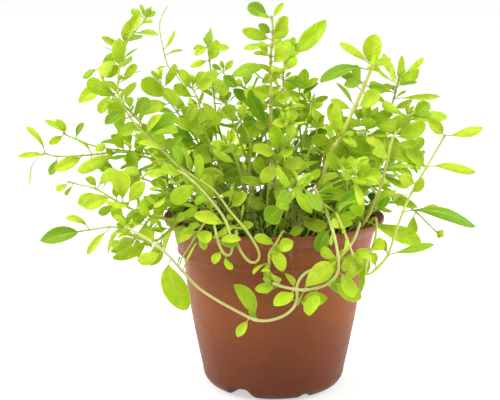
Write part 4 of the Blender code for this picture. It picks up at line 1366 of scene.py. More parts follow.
class Nodes:
    """Lays out the nodes of a finish or of the world."""

    def __init__(self, tree: bpy.types.NodeTree) -> None:
        """Takes the tree that the nodes go into."""
        self.tree = tree

    def node(self, kind: str, **settings: object) -> bpy.types.Node:
        """Adds a node.

        Args:
            kind: The kind, without ShaderNode.
            settings: The properties.

        Returns:
            The node.
        """
        made = self.tree.nodes.new("ShaderNode" + kind)
        for key, value in settings.items():
            setattr(made, key, value)
        return made

    def feed(self, socket: Socket, value: object) -> None:
        """Links a socket into this one, or sets it to a number or a colour.

        Args:
            socket: The socket that is fed.
            value: A socket, a number or a colour.
        """
        if isinstance(value, Socket):
            self.tree.links.new(value, socket)
        elif isinstance(value, tuple) and len(value) == 3 and socket.type == "RGBA":
            socket.default_value = (*value, 1)
        else:
            socket.default_value = value

    def split(self, vector: Socket) -> tuple[Socket, ...]:
        """The three numbers of a vector.

        Args:
            vector: A socket that gives a vector.

        Returns:
            Their sockets.
        """
        made = self.node("SeparateXYZ")
        self.feed(made.inputs[0], vector)
        return tuple(made.outputs)

    def attribute(self, name: str) -> tuple[Socket, ...]:
        """The three numbers of a point attribute."""
        return self.split(self.node("Attribute", attribute_name=name).outputs["Vector"])

    def math(self, operation: str, first: object, second: object = 0.0) -> Socket:
        """One step of arithmetic.

        Args:
            operation: The name of the operation, such as ADD.
            first: The first number.
            second: The second number, where there are two.

        Returns:
            The result.
        """
        step = self.node("Math", operation=operation)
        self.feed(step.inputs[0], first)
        self.feed(step.inputs[1], second)
        return step.outputs[0]

    def times(self, first: object, second: object) -> Socket:
        """The product of two numbers."""
        return self.math("MULTIPLY", first, second)

    def fade(
        self,
        value: object,
        start: float,
        end: float,
        low: float = 0,
        high: float = 1,
        kind: str = "SMOOTHSTEP",
    ) -> Socket:
        """Goes from one number to another as a value rises or falls.

        Args:
            value: The value.
            start: Where the result is low.
            end: Where it is high; this may lie below the start.
            low: The result up to the start.
            high: The result from the end on.
            kind: How it goes from one to the other.

        Returns:
            The result.
        """
        step = self.node("MapRange", interpolation_type=kind)
        flipped = start > end
        for socket, number in zip(step.inputs, (value, min(start, end), max(start, end))):
            self.feed(socket, number)
        self.feed(step.inputs["To Min"], high if flipped else low)
        self.feed(step.inputs["To Max"], low if flipped else high)
        return step.outputs[0]

    def blend(self, share: object, first: object, second: object, how: str = "MIX") -> Socket:
        """Mixes two colours.

        Args:
            share: How much of the second there is.
            first: The first colour.
            second: The second colour.
            how: The name of the way to mix, such as MULTIPLY.

        Returns:
            The mixed colour.
        """
        step = self.node("Mix", data_type="RGBA", blend_type=how)
        self.feed(step.inputs["Factor"], share)
        colours = [socket for socket in step.inputs if socket.type == "RGBA"]
        self.feed(colours[0], first)
        self.feed(colours[1], second)
        return next(socket for socket in step.outputs if socket.type == "RGBA")

    def position(self, stretch: Triple = (1, 1, 1)) -> Socket:
        """The place in the part's own frame, in metres, stretched along each axis.

        Args:
            stretch: What each axis is multiplied by.

        Returns:
            The place.
        """
        read = self.node("TexCoord")
        if stretch == (1, 1, 1):
            return read.outputs["Object"]
        scaled = self.node("Mapping")
        self.feed(scaled.inputs["Vector"], read.outputs["Object"])
        self.feed(scaled.inputs["Scale"], stretch)
        return scaled.outputs[0]

    def noise(self, scale: float, detail: float = 2.0, vector: Socket | None = None) -> Socket:
        """Cloudy noise.

        Args:
            scale: How many features there are to the metre.
            detail: How many finer layers it has.
            vector: Where it is read, if not at the plain place.

        Returns:
            A number about 0.5.
        """
        made = self.node("TexNoise")
        self.feed(made.inputs["Vector"], vector or self.position())
        self.feed(made.inputs["Scale"], scale)
        self.feed(made.inputs["Detail"], detail)
        return made.outputs[0]

    def mix_shaders(self, share: object, first: object, second: object) -> Socket:
        """Mixes two shaders.

        Args:
            share: How much of the second there is.
            first: The first shader.
            second: The second shader.

        Returns:
            The mixed shader.
        """
        both = self.node("MixShader")
        for socket, value in zip(both.inputs, (share, first, second)):
            self.feed(socket, value)
        return both.outputs[0]

    def seen_directly(self) -> Socket:
        """1 for what the camera sees, straight or in shiny or clear surfaces, and 0 for other light.

        Returns:
            The number's socket.
        """
        ray = self.node("LightPath")
        seen = ray.outputs["Is Camera Ray"]
        for name in ("Is Glossy Ray", "Is Transmission Ray"):
            seen = self.math("MAXIMUM", seen, ray.outputs[name])
        return seen


class Recipe(Nodes):
    """Lays out the nodes of one finish round its main shader."""

    def __init__(self, name: str) -> None:
        """Starts a material with its one main shader.

        Args:
            name: The name of the material.
        """
        self.material = bpy.data.materials.new(name)
        self.material.use_nodes = True
        super().__init__(self.material.node_tree)
        self.shader = self.tree.nodes["Principled BSDF"]

    def bump(self, height: Socket, distance: float, strength: float = 1.0) -> None:
        """Raises the surface.

        Args:
            height: The height, from 0 to 1.
            distance: How far 1 stands out, in metres.
            strength: How strongly it shows.
        """
        made = self.node("Bump")
        self.feed(made.inputs["Height"], height)
        self.feed(made.inputs["Distance"], distance)
        self.feed(made.inputs["Strength"], strength)
        self.feed(self.shader.inputs["Normal"], made.outputs[0])

    def set(self, **values: object) -> None:
        """Sets or feeds the main shader's sockets, named with _ for a space."""
        for key, value in values.items():
            self.feed(self.shader.inputs[key.replace("_", " ")], value)

    def let_light_through(self, colour: object, share: float) -> None:
        """Makes the surface glow with part of the light that falls on its other side.

        Args:
            colour: The colour of the light that comes through.
            share: How much comes through.
        """
        through = self.node("BsdfTranslucent")
        self.feed(through.inputs["Color"], colour)
        both = self.mix_shaders(share, self.shader.outputs[0], through.outputs[0])
        self.feed(self.tree.nodes["Material Output"].inputs["Surface"], both)


@dataclass(frozen=True)
class LeafFinish:
    """Soft matt leaf: lime green, paler at its margin, midrib and underside, darker when old and in painted
    shade.
    """

    fresh: Colour = (0.73, 0.86, 0.03)
    usual: Colour = (0.60, 0.82, 0.015)
    # the colour of old leaves, which also paints shade on leaves deep in the plant, through how old they
    # look
    old: Colour = (0.20, 0.44, 0.010)
    # painted shade: the colour of leaves deep in the plant's heart, where shade falls
    shaded: Colour = (0.035, 0.115, 0.008)
    margin: Colour = (0.76, 0.88, 0.22)
    rib: Colour = (0.74, 0.88, 0.16)
    under: Colour = (0.60, 0.80, 0.10)
    vein_pairs: float = 7.0
    vein_slant: float = 1.7
    through: float = 0.34

    def build(self) -> Material:
        """Lays out the finish.

        Returns:
            The material.
        """
        recipe = Recipe("marjoram leaf")
        blade, across, under = recipe.attribute("place")
        # the kind's second number also carries painted shade, and its third paints the shade deep in the
        # plant
        tone, age, depth = recipe.attribute("kind")
        out = recipe.math("ABSOLUTE", across)
        blotch = recipe.noise(260, 3)
        grain = recipe.noise(1500, 4)
        green = recipe.blend(recipe.fade(tone, 0.1, 0.9), self.usual, self.fresh)
        # older leaves, and as painted shade the leaves deep in the plant, go darker
        green = recipe.blend(recipe.fade(age, 0.35, 1.0, 0, 0.9), green, self.old)
        green = recipe.blend(recipe.fade(blotch, 0.35, 0.7, 0, 0.28), green, self.old)
        phase = recipe.times(blade, self.vein_pairs)
        phase = recipe.math("SUBTRACT", phase, recipe.times(out, self.vein_slant))
        wave = recipe.math("ABSOLUTE", recipe.math("SUBTRACT", recipe.math("FRACT", phase), 0.5))
        vein = recipe.fade(wave, 0.11, 0.0)
        vein = recipe.times(vein, recipe.fade(out, 0.92, 0.5))
        rib = recipe.times(recipe.fade(out, 0.13, 0.03), recipe.fade(blade, 1.0, 0.35))
        green = recipe.blend(recipe.times(vein, 0.22), green, self.rib)
        green = recipe.blend(recipe.times(rib, 0.62), green, self.rib)
        green = recipe.blend(recipe.fade(blade, 0.0, -0.12, 0, 0.75), green, self.rib)
        green = recipe.blend(recipe.fade(out, 0.80, 1.0, 0, 0.42), green, self.margin)
        green = recipe.blend(recipe.times(under, 0.6), green, self.under)
        # painted shade: leaves deep in the plant's heart go towards the shaded colour
        green = recipe.blend(recipe.times(depth, 0.9), green, self.shaded)
        pillow = recipe.fade(wave, 0.0, 0.42)
        height = recipe.math("ADD", recipe.times(pillow, 0.7), recipe.times(grain, 0.3))
        height = recipe.math("SUBTRACT", height, recipe.times(rib, 0.5))
        recipe.bump(height, 0.22 * MM, 0.8)
        recipe.set(
            Base_Color=green, Roughness=recipe.fade(grain, 0.3, 0.7, 0.42, 0.62), Specular_IOR_Level=0.32
        )
        # painted light and shade: the light let through is paler, towards fresh, outside the heart, and
        # only the shaded green deep inside it
        glow = recipe.blend(recipe.fade(depth, 0.0, 0.6, 0.35, 0.0), green, self.fresh)
        recipe.let_light_through(glow, self.through)
        return recipe.material


@dataclass(frozen=True)
class StemFinish:
    """Soft stem: green to straw yellow, with ridges, and flushed red towards its root and nodes."""

    green: Colour = (0.46, 0.66, 0.04)
    straw: Colour = (0.80, 0.80, 0.16)
    pale: Colour = (0.88, 0.90, 0.42)
    red: Colour = (0.36, 0.15, 0.06)
    ridge: Colour = (0.90, 0.92, 0.46)

    def build(self) -> Material:
        """Lays out the finish.

        Returns:
            The material.
        """
        recipe = Recipe("marjoram stem")
        run, near, _ = recipe.attribute("place")
        tone, redness, paleness = recipe.attribute("kind")
        cloud = recipe.noise(120, 3)
        fibre = recipe.noise(900, 4, recipe.position((1, 1, 0.25)))
        colour = recipe.blend(tone, self.green, self.straw)
        colour = recipe.blend(paleness, colour, self.pale)
        low = recipe.times(recipe.fade(run, 0.75, 0.0), redness)
        colour = recipe.blend(recipe.times(low, recipe.fade(cloud, 0.3, 0.65)), colour, self.red)
        knot = recipe.times(recipe.fade(near, 0.4, 0.0), recipe.times(redness, 0.5))
        colour = recipe.blend(knot, colour, self.red)
        colour = recipe.blend(recipe.fade(fibre, 0.52, 0.75, 0, 0.3), colour, self.ridge)
        recipe.bump(fibre, 0.12 * MM, 0.7)
        recipe.set(Base_Color=colour, Roughness=recipe.fade(fibre, 0.3, 0.7, 0.40, 0.58))
        recipe.let_light_through(colour, 0.12)
        return recipe.material


@dataclass(frozen=True)
class PotFinish:
    """Satin moulded plastic, terracotta brown, painted shade at its foot, ledges worn paler with painted
    highlight.
    """

    brown: Colour = (0.322, 0.088, 0.020)
    # a darker brown, for the mottling and for the painted shade towards the foot
    deep: Colour = (0.150, 0.036, 0.011)
    # pale brown for specks, and for the worn ledges with a painted highlight
    rubbed: Colour = (0.46, 0.24, 0.15)
    dust: Colour = (0.42, 0.26, 0.18)

    def build(self) -> Material:
        """Lays out the finish.

        Returns:
            The material.
        """
        recipe = Recipe("pot plastic")
        _, _, height = recipe.split(recipe.position())
        rubbed, _, _ = recipe.attribute("place")
        cloud = recipe.noise(28, 3)
        speck = recipe.noise(900, 4)
        scuff = recipe.noise(420, 5, recipe.position((1, 1, 0.06)))
        # painted shade: the body darkens towards its foot
        colour = recipe.blend(recipe.fade(height, 60 * MM, 5 * MM, 0, 0.85), self.brown, self.deep)
        colour = recipe.blend(recipe.fade(cloud, 0.35, 0.7, 0, 0.3), colour, self.deep)
        colour = recipe.blend(recipe.fade(speck, 0.58, 0.78, 0, 0.22), colour, self.rubbed)
        upper = recipe.fade(height, 60 * MM, 88 * MM)
        streak = recipe.times(recipe.fade(scuff, 0.56, 0.74), upper)
        colour = recipe.blend(recipe.times(streak, 0.5), colour, self.dust)
        # worn and painted highlight: the ledges, the bead and the lip's top are paler
        ledge_worn_and_highlit = recipe.times(rubbed, recipe.fade(cloud, 0.2, 0.6, 0.45, 0.9))
        colour = recipe.blend(ledge_worn_and_highlit, colour, self.rubbed)
        relief = recipe.math("ADD", recipe.times(speck, 0.5), recipe.times(scuff, 0.5))
        recipe.bump(relief, 0.05 * MM, 0.6)
        recipe.set(
            Base_Color=colour,
            Roughness=recipe.fade(recipe.noise(160, 3), 0.3, 0.7, 0.40, 0.52),
            Specular_IOR_Level=0.24,
        )
        return recipe.material


@dataclass(frozen=True)
class MixFinish:
    """Dark moist peat with lighter fibres."""

    peat: Colour = (0.012, 0.0085, 0.006)
    crumb: Colour = (0.050, 0.032, 0.019)

    def build(self) -> Material:
        """Lays out the finish.

        Returns:
            The material.
        """
        recipe = Recipe("peat mix")
        lump = recipe.noise(420, 6)
        grit = recipe.noise(1900, 4)
        colour = recipe.blend(recipe.fade(lump, 0.42, 0.68), self.peat, self.crumb)
        height = recipe.math("ADD", recipe.times(lump, 0.6), recipe.times(grit, 0.4))
        recipe.bump(height, 0.9 * MM)
        recipe.set(Base_Color=colour, Roughness=recipe.fade(grit, 0.3, 0.7, 0.8, 1.0))
        return recipe.material


@dataclass(frozen=True)
class CrumbFinish:
    """Loose crumbs on the mix: peat, bark and a few straw-coloured bits, by their kind."""

    peat: Colour = (0.016, 0.011, 0.008)
    bark: Colour = (0.085, 0.046, 0.024)
    straw: Colour = (0.36, 0.29, 0.16)

    def build(self) -> Material:
        """Lays out the finish.

        Returns:
            The material.
        """
        recipe = Recipe("mix crumbs")
        kind, _, _ = recipe.attribute("kind")
        grain = recipe.noise(1300, 5)
        colour = recipe.blend(recipe.fade(kind, 0.3, 0.7), self.peat, self.bark)
        colour = recipe.blend(recipe.fade(kind, 0.8, 0.95), colour, self.straw)
        colour = recipe.blend(recipe.fade(grain, 0.45, 0.7, 0, 0.6), colour, self.peat)
        recipe.bump(grain, 0.35 * MM)
        recipe.set(Base_Color=colour, Roughness=recipe.fade(grain, 0.3, 0.7, 0.75, 0.95))
        return recipe.material


@dataclass(frozen=True)
class FloorFinish:
    """A plain pale floor, seen as white but for the shadow on it."""

    colour: Colour = (0.60, 0.60, 0.60)
    lift: float = 0.56  # what it is raised by where it is seen directly

    def build(self) -> Material:
        """Lays out the finish.

        Returns:
            The material.
        """
        recipe = Recipe("pale floor")
        recipe.set(Base_Color=self.colour, Roughness=0.9, Specular_IOR_Level=0.2)
        recipe.set(Emission_Color=(1.0, 1.0, 1.0))
        recipe.set(Emission_Strength=recipe.times(recipe.seen_directly(), self.lift))
        return recipe.material


@dataclass(frozen=True)
class ShootLook:
    """What sets one shoot's looks apart.

    Its girth and how it tapers, its yellow, red and pale shares, how wide its leaves are, the share
    of its stem up to which further leaves grow, the stops between which none of them hides its stem
    from the front, and whether it stays bare of broad leaves and fillers.
    """

    girth: float = 1.0
    taper: float = 1.0
    tone: float = 0.45
    redness: float = 0.5
    paleness: float = 0.0
    leaf_width: float = 1.0
    more_to: float = 1.0
    open_from: float = 0.0
    open_to: float = 0.0
    bare: bool = False


SHOOT_LOOKS: dict[str, ShootLook] = {
    "runner": ShootLook(1.0, 0.35, 0.9, 0.05, 0.7, open_from=1.8, open_to=17, bare=True),
    "arching_shoot": ShootLook(1.0, 0.45, 0.9, 0.0, 0.6, open_from=2, open_to=9),
    "thick_right_shoot": ShootLook(1.6, 0.75, 1.0, 0.05, 0.1, open_from=1.5, open_to=7.4),
    "tall_centre_shoot": ShootLook(1.4, 0.9, 0.8, 0.9, more_to=0.97, open_from=1.2, open_to=4.8),
    "tall_left_shoot": ShootLook(0.9, 0.9, 0.8, 0.2, 0.1, open_from=1, open_to=10),
    "front_loop_shoot": ShootLook(0.85, 0.6, 0.85, 0.05, 0.45, open_from=1, open_to=9),
    "right_shoot_1": ShootLook(1.1, 0.7, 1.0, 0.0, 0.0, open_from=0.8, open_to=5.4),
    "right_shoot_2": ShootLook(0.9, 0.6, 0.6, 0.1, 0.0, more_to=0.4, open_from=3, open_to=11),
    "front_sprig": ShootLook(0.9, 0.7, 0.8, 0.4, open_from=1.5, open_to=4),
    "wispy_shoot": ShootLook(0.55, 0.8, 0.4, 0.5, leaf_width=0.5, more_to=0.3),
    "left_high_shoot": ShootLook(0.9, 0.8, 0.6, 0.3, more_to=0.86),
    "left_shoot_1": ShootLook(0.85, 0.8, 0.5, 0.3, more_to=0.8),
    "left_shoot_2": ShootLook(0.8, 0.8, 0.4, 0.9, leaf_width=0.85, more_to=0.4),
    "left_shoot_3": ShootLook(0.9, 0.8, 0.6, 0.3, more_to=0.85),
    "left_shoot_4": ShootLook(0.9, 0.8, 0.6, 0.3, more_to=0.75),
    "hanging_shoot_1": ShootLook(0.9, 0.8, 0.6, 0.3, more_to=0.5),
    "inner_shoot_3": ShootLook(0.9, 0.8, 0.6, 0.2, open_from=0.6, open_to=1.8),
    "inner_shoot_5": ShootLook(0.9, 0.8, 0.6, 0.2, open_from=0.6, open_to=1.8),
    "middle_shoot_5": ShootLook(0.9, 0.8, 0.6, 0.2, open_from=0.6, open_to=1.8),
}


def look_of(name: str) -> ShootLook:
    """How the shoot of this name looks: stated, or drawn by chance.

    Args:
        name: The name of the shoot.

    Returns:
        Its look.
    """
    if name in SHOOT_LOOKS:
        return SHOOT_LOOKS[name]
    luck = random.Random("stem " + name)
    return ShootLook(luck.uniform(0.62, 0.95), 0.9, luck.uniform(0.0, 0.7), luck.random() ** 3)


@dataclass(frozen=True)
class LeafRules:
    """How the further leaves grow, and where the shaded heart of the plant is."""

    form_tries: int = 4
    plain_width: float = 0.8  # of a blade that fits in none of its drawn forms
    slimness: float = 0.56
    turns: tuple[int, ...] = (0, 45, -45, 90)
    shrinks: tuple[float, ...] = (1.0, 0.78)
    bud_lengths: tuple[float, ...] = (7.5 * MM, 4.8 * MM)
    axil_share: float = 0.6
    axil_rise: float = 0.9 * MM
    axil_length: Pair = (4.5 * MM, 9.5 * MM)
    broad_step: float = 26.0 * MM
    broad_from: float = 0.3  # for the length of the stem
    broad_to: float = 0.97
    broad_length: Pair = (9.0 * MM, 18.0 * MM)
    broad_slimness: Pair = (0.4, 0.62)
    broad_turns: tuple[int, ...] = (0, 20, -20, 40, -40, 70)
    filler_step: float = 6.5 * MM
    filler_from: float = 0.28  # for the length of the stem
    filler_gaps: float = 0.2  # the share of steps without a pair
    filler_length: Pair = (9.0 * MM, 17.0 * MM)
    small_under: float = 8.0 * MM  # leaves shorter than this are divided less finely
    view_gap: float = 2.2 * MM
    view_depth: float = 60.0 * MM
    view_step: float = 4.0 * MM
    heart_y: float = -8.0 * MM
    heart_radius: float = 62.0 * MM
    heart_height: float = 58.0 * MM
    old_share: float = 0.16  # of the leaves look old by chance

    def depth(self, point: Vector) -> float:
        """How deep in the plant a point is: 1 low in its heart, and 0 outside or high up.

        Args:
            point: The point.

        Returns:
            The depth.
        """
        inside = 1 - min(1.0, math.hypot(point.x, point.y - self.heart_y) / self.heart_radius)
        low = 1 - min(1.0, max(0.0, point.z - POT_SHAPE.height * MM) / self.heart_height)
        return min(1.0, 1.7 * inside) * low


RULES = LeafRules()


class DressedShoot:
    """A planned shoot as it looks: its finer stem, its planned leaves and further ones."""

    def __init__(self, shoot: Shoot, room: Surroundings) -> None:
        """Takes a planned shoot and keeps the place of its stem.

        Args:
            shoot: The planned shoot.
            room: What stands around it.
        """
        self.shoot = shoot
        self.stem = shoot.stem
        self.room = room
        self.look = look_of(shoot.name)
        self.leaves: list[tuple[LeafSkin, float]] = []
        self.luck = random.Random()
        thicker = max(0.2, self.look.girth - 1)
        room.add(*self.stem.tube(thicker * MM))

    def begin(self, stage: str) -> None:
        """Starts the draws of a stage of growth."""
        self.luck = random.Random(f"{stage} {self.shoot.name}")

    def age(self, place: float) -> float:
        """How old a leaf looks, from 0 to 1: older low on its stem and with some chance, and older still
        inside the plant as painted shade.

        Args:
            place: The length along the stem.

        Returns:
            How old it looks, with the painted shade.
        """
        low = 1 - place / self.stem.total
        point, _, _, _ = self.stem.frame(place)
        chance = self.luck.gauss(0, 0.15) + (0.6 if self.luck.random() < RULES.old_share else 0)
        # painted shade: leaves deep in the plant's heart look older, which darkens them
        return min(1.0, max(0.0, 0.05 + 0.2 * low + 0.4 * RULES.depth(point) + chance))

    def keep_first(self, age: float, skins: Iterable[LeafSkin], must: bool = False) -> None:
        """Keeps the first of some leaves that touches nothing.

        Args:
            age: How old it looks, with the painted shade of the plant's heart.
            skins: The leaves to try.
            must: Whether the last one is kept where none is clear.
        """
        for skin in skins:
            if self.room.take(*skin.shell()):
                break
        else:
            if not must:
                return
            self.room.add(*skin.shell())
        self.leaves.append((skin, age))

    def forms(self, leaf: Leaf, stated: bool) -> Iterable[BladeForm]:
        """Draws forms for a planned leaf, calmer after the first two and plain at the last.

        Args:
            leaf: The planned leaf.
            stated: Whether the plan states this leaf, so that it is calm from the first.

        Yields:
            The forms.
        """
        for attempt in range(RULES.form_tries):
            form = BladeForm.draw(self.luck, stated or attempt > 1)
            if attempt == RULES.form_tries - 1:
                form = replace(form, lean=0, roll=0, twist=0, arch=0, droop=0, width=RULES.plain_width)
            form = replace(form, width=form.width * self.look.leaf_width)
            yield form.drawn_out(leaf.width / leaf.length)

    def settle_leaves(self, leaves: Iterable[Leaf], stated: bool) -> None:
        """Gives planned leaves the first form that fits.

        Args:
            leaves: The leaves.
            stated: Whether the plan states them one by one, so that each is kept.
        """
        self.begin(f"blades {stated}")
        for leaf in leaves:
            age = self.age(leaf.place)
            self.keep_first(age, (LeafSkin(leaf, form) for form in self.forms(leaf, stated)), stated)

    def settle_stated(self) -> None:
        """Gives the stated leaves of the plan their blades."""
        self.settle_leaves(self.shoot.leaves[: self.shoot.stated], True)

    def settle_others(self) -> None:
        """Gives the other leaves of the plan their blades, where there is room."""
        self.settle_leaves(self.shoot.leaves[self.shoot.stated :], False)

    def keep_in_view(self) -> None:
        """Keeps the space in front of a main stem free of further leaves."""
        if self.look.open_to <= self.look.open_from:
            return
        start, end = (self.stem.place_of_stop(stop) for stop in (self.look.open_from, self.look.open_to))
        count = max(3, round((end - start) / RULES.view_step))
        points = []
        for step in range(count + 1):
            point, _, _, _ = self.stem.frame(start + (end - start) * step / count)
            towards = (Vector(Studio.camera_place) - point).normalized()
            points += [point + towards * far for far in (RULES.view_gap, RULES.view_gap + RULES.view_depth)]
        self.room.add(points, [(2 * i, 2 * i + 2, 2 * i + 3, 2 * i + 1) for i in range(count)])

    def grow_broad(self) -> None:
        """Full-grown leaves that stand out from a longer shoot to both sides, a little forward."""
        if self.look.bare or not self.shoot.stated:
            return
        self.begin("broad")
        luck = self.luck
        span = min(self.look.more_to, RULES.broad_to) - RULES.broad_from
        count = round(self.stem.total / RULES.broad_step)
        for number in range(count):
            place = self.stem.total * (RULES.broad_from + span * (number + luck.random()) / count)
            way = Vector((luck.uniform(0.2, 1.0) * (-1) ** number, -0.3, luck.uniform(-0.5, 0.9)))
            reach = way.normalized() * luck.uniform(*RULES.broad_length)
            slimness = luck.uniform(*RULES.broad_slimness)
            age = self.age(place)
            form = replace(BladeForm.draw(luck, calm=True), width=1).drawn_out(slimness)
            facing = FRONT * 0.9 + UP * 0.5 + sway(luck, 0.2)
            face = self.shoot.best_face(place, reach)
            ways = (turned(facing, reach, turn) for turn in RULES.broad_turns)
            leaves = (Leaf(self.stem, place, face, reach, looks, slimness) for looks in ways)
            self.keep_first(age, (LeafSkin(leaf, form) for leaf in leaves))

    def try_leaf(self, place: float, face: int, reach: Vector, facing: Vector) -> None:
        """Adds a further leaf if there is room for it.

        Args:
            place: The length along the stem.
            face: The side face of the stem.
            reach: From the middle of the stem to the leaf's tip.
            facing: The direction that its upper side looks to.
        """
        form = BladeForm.draw(self.luck)
        form = replace(form, width=form.width * self.look.leaf_width)
        age = self.age(place)
        leaves = (
            Leaf(self.stem, place, face, reach * shrink, turned(facing, reach, turn), RULES.slimness)
            for shrink in RULES.shrinks
            for turn in RULES.turns
        )
        self.keep_first(age, (LeafSkin(leaf, form) for leaf in leaves))

    def grow_buds(self) -> None:
        """Small pairs that close the tip of the shoot."""
        for number, length in enumerate(RULES.bud_lengths):
            place = self.stem.total - (0.9 - 0.8 * number) * MM
            _, heading, _, _ = self.stem.frame(place)
            for face in PAIRS[number % 2]:
                outward = self.stem.outward(place, face)
                lean = self.luck.uniform(0.45, 0.8) - 0.2 * number
                reach = (heading + outward * lean).normalized() * length * self.luck.uniform(0.8, 1.2)
                self.try_leaf(place, face, reach, heading * 0.8 - outward)

    def grow_axils(self) -> None:
        """A small young pair in the axil of many of the planned leaves."""
        luck = self.luck
        for leaf in self.shoot.leaves:
            if luck.random() > RULES.axil_share:
                continue
            place = min(leaf.place + RULES.axil_rise, self.stem.total)
            if place > self.stem.total * self.look.more_to:
                continue
            _, heading, _, _ = self.stem.frame(place)
            outward = self.stem.outward(place, leaf.face)
            beside = heading.cross(outward)
            for sign in (1, -1):
                length = luck.uniform(*RULES.axil_length)
                lean = outward * luck.uniform(0.4, 0.9) + beside * sign * luck.uniform(0.35, 0.7)
                reach = (heading * luck.uniform(0.5, 1.0) + lean).normalized() * length
                self.try_leaf(place, leaf.face, reach, heading + UP * 0.5 - beside * sign * 0.4)

    def grow_small(self) -> None:
        """Grows the buds, if further leaves reach the tip, and the pairs in the axils."""
        self.begin("more")
        if self.look.more_to == 1:
            self.grow_buds()
        self.grow_axils()

    def grow_fillers(self) -> None:
        """Further pairs of middling leaves between the planned ones, fewer in the plant's heart."""
        if self.look.bare:
            return
        self.begin("fill")
        luck, total = self.luck, self.stem.total
        last = min(total - 2 * MM, total * self.look.more_to)
        for step in range(int(total * (1 - RULES.filler_from) / RULES.filler_step)):
            place = total * RULES.filler_from + (step + luck.uniform(0.2, 0.8)) * RULES.filler_step
            if place > last or luck.random() < RULES.filler_gaps:
                continue
            point, heading, _, _ = self.stem.frame(place)
            if luck.random() < RULES.depth(point) * 1.5:
                continue
            for face in PAIRS[step % 2]:
                length = luck.uniform(*RULES.filler_length)
                lean = heading * luck.uniform(0.2, 0.9) + outwards(point) * 0.2
                reach = (self.stem.outward(place, face) + lean).normalized() * length
                self.try_leaf(place, face, reach, heading * 0.5 + UP * 0.6 + FRONT * 0.2 + sway(luck, 0.4))

    def dress(self, leaf_finish: Material, stem_finish: Material) -> None:
        """Makes the shoot's stem and the piece with all its leaves.

        Args:
            leaf_finish: The material of the leaves.
            stem_finish: The material of the stem.
        """
        name, look = self.shoot.name, self.look
        stem, blades = Skin(), Skin()
        nodes = [skin.leaf.place for skin, _ in self.leaves]
        kind = (look.tone, look.redness, look.paleness)
        StemSkin(self.stem, nodes, look.girth, look.taper).add_to(stem, kind)
        stem.make(name + "_stem", stem_finish, Slot.FOLIAGE, Edge.STEM, name)
        self.begin("tones")
        for skin, age in self.leaves:
            # painted shade: the third number darkens leaves deep in the plant's heart
            kind = (self.luck.random(), age, RULES.depth(skin.leaf.centre(0.6)) ** 1.5)
            skin.add_to(blades, kind, RULES.small_under)
        blades.make(name + "_leaves", leaf_finish, Slot.FOLIAGE, Edge.LEAF, name)


class Foliage:
    """All the shoots, grown by stages, so that the leaves of later stages keep clear of the earlier."""

    STAGES = (
        DressedShoot.settle_stated,
        DressedShoot.keep_in_view,
        DressedShoot.grow_broad,
        DressedShoot.settle_others,
        DressedShoot.grow_small,
        DressedShoot.grow_fillers,
    )

    def __init__(self, plan: GrowthPlan) -> None:
        """Takes the plan and keeps the place of its stems."""
        self.room = Surroundings()
        self.shoots = [DressedShoot(shoot, self.room) for shoot in plan.shoots]

    def build(self, leaf_finish: Material, stem_finish: Material) -> None:
        """Grows all leaves and makes the pieces.

        Args:
            leaf_finish: The material of all leaves.
            stem_finish: The material of all stems.
        """
        for stage in self.STAGES:
            for shoot in self.shoots:
                stage(shoot)
        for shoot in self.shoots:
            shoot.dress(leaf_finish, stem_finish)
        count = sum(len(shoot.leaves) for shoot in self.shoots)
        LOG.info("%d leaves on %d shoots", count, len(self.shoots))


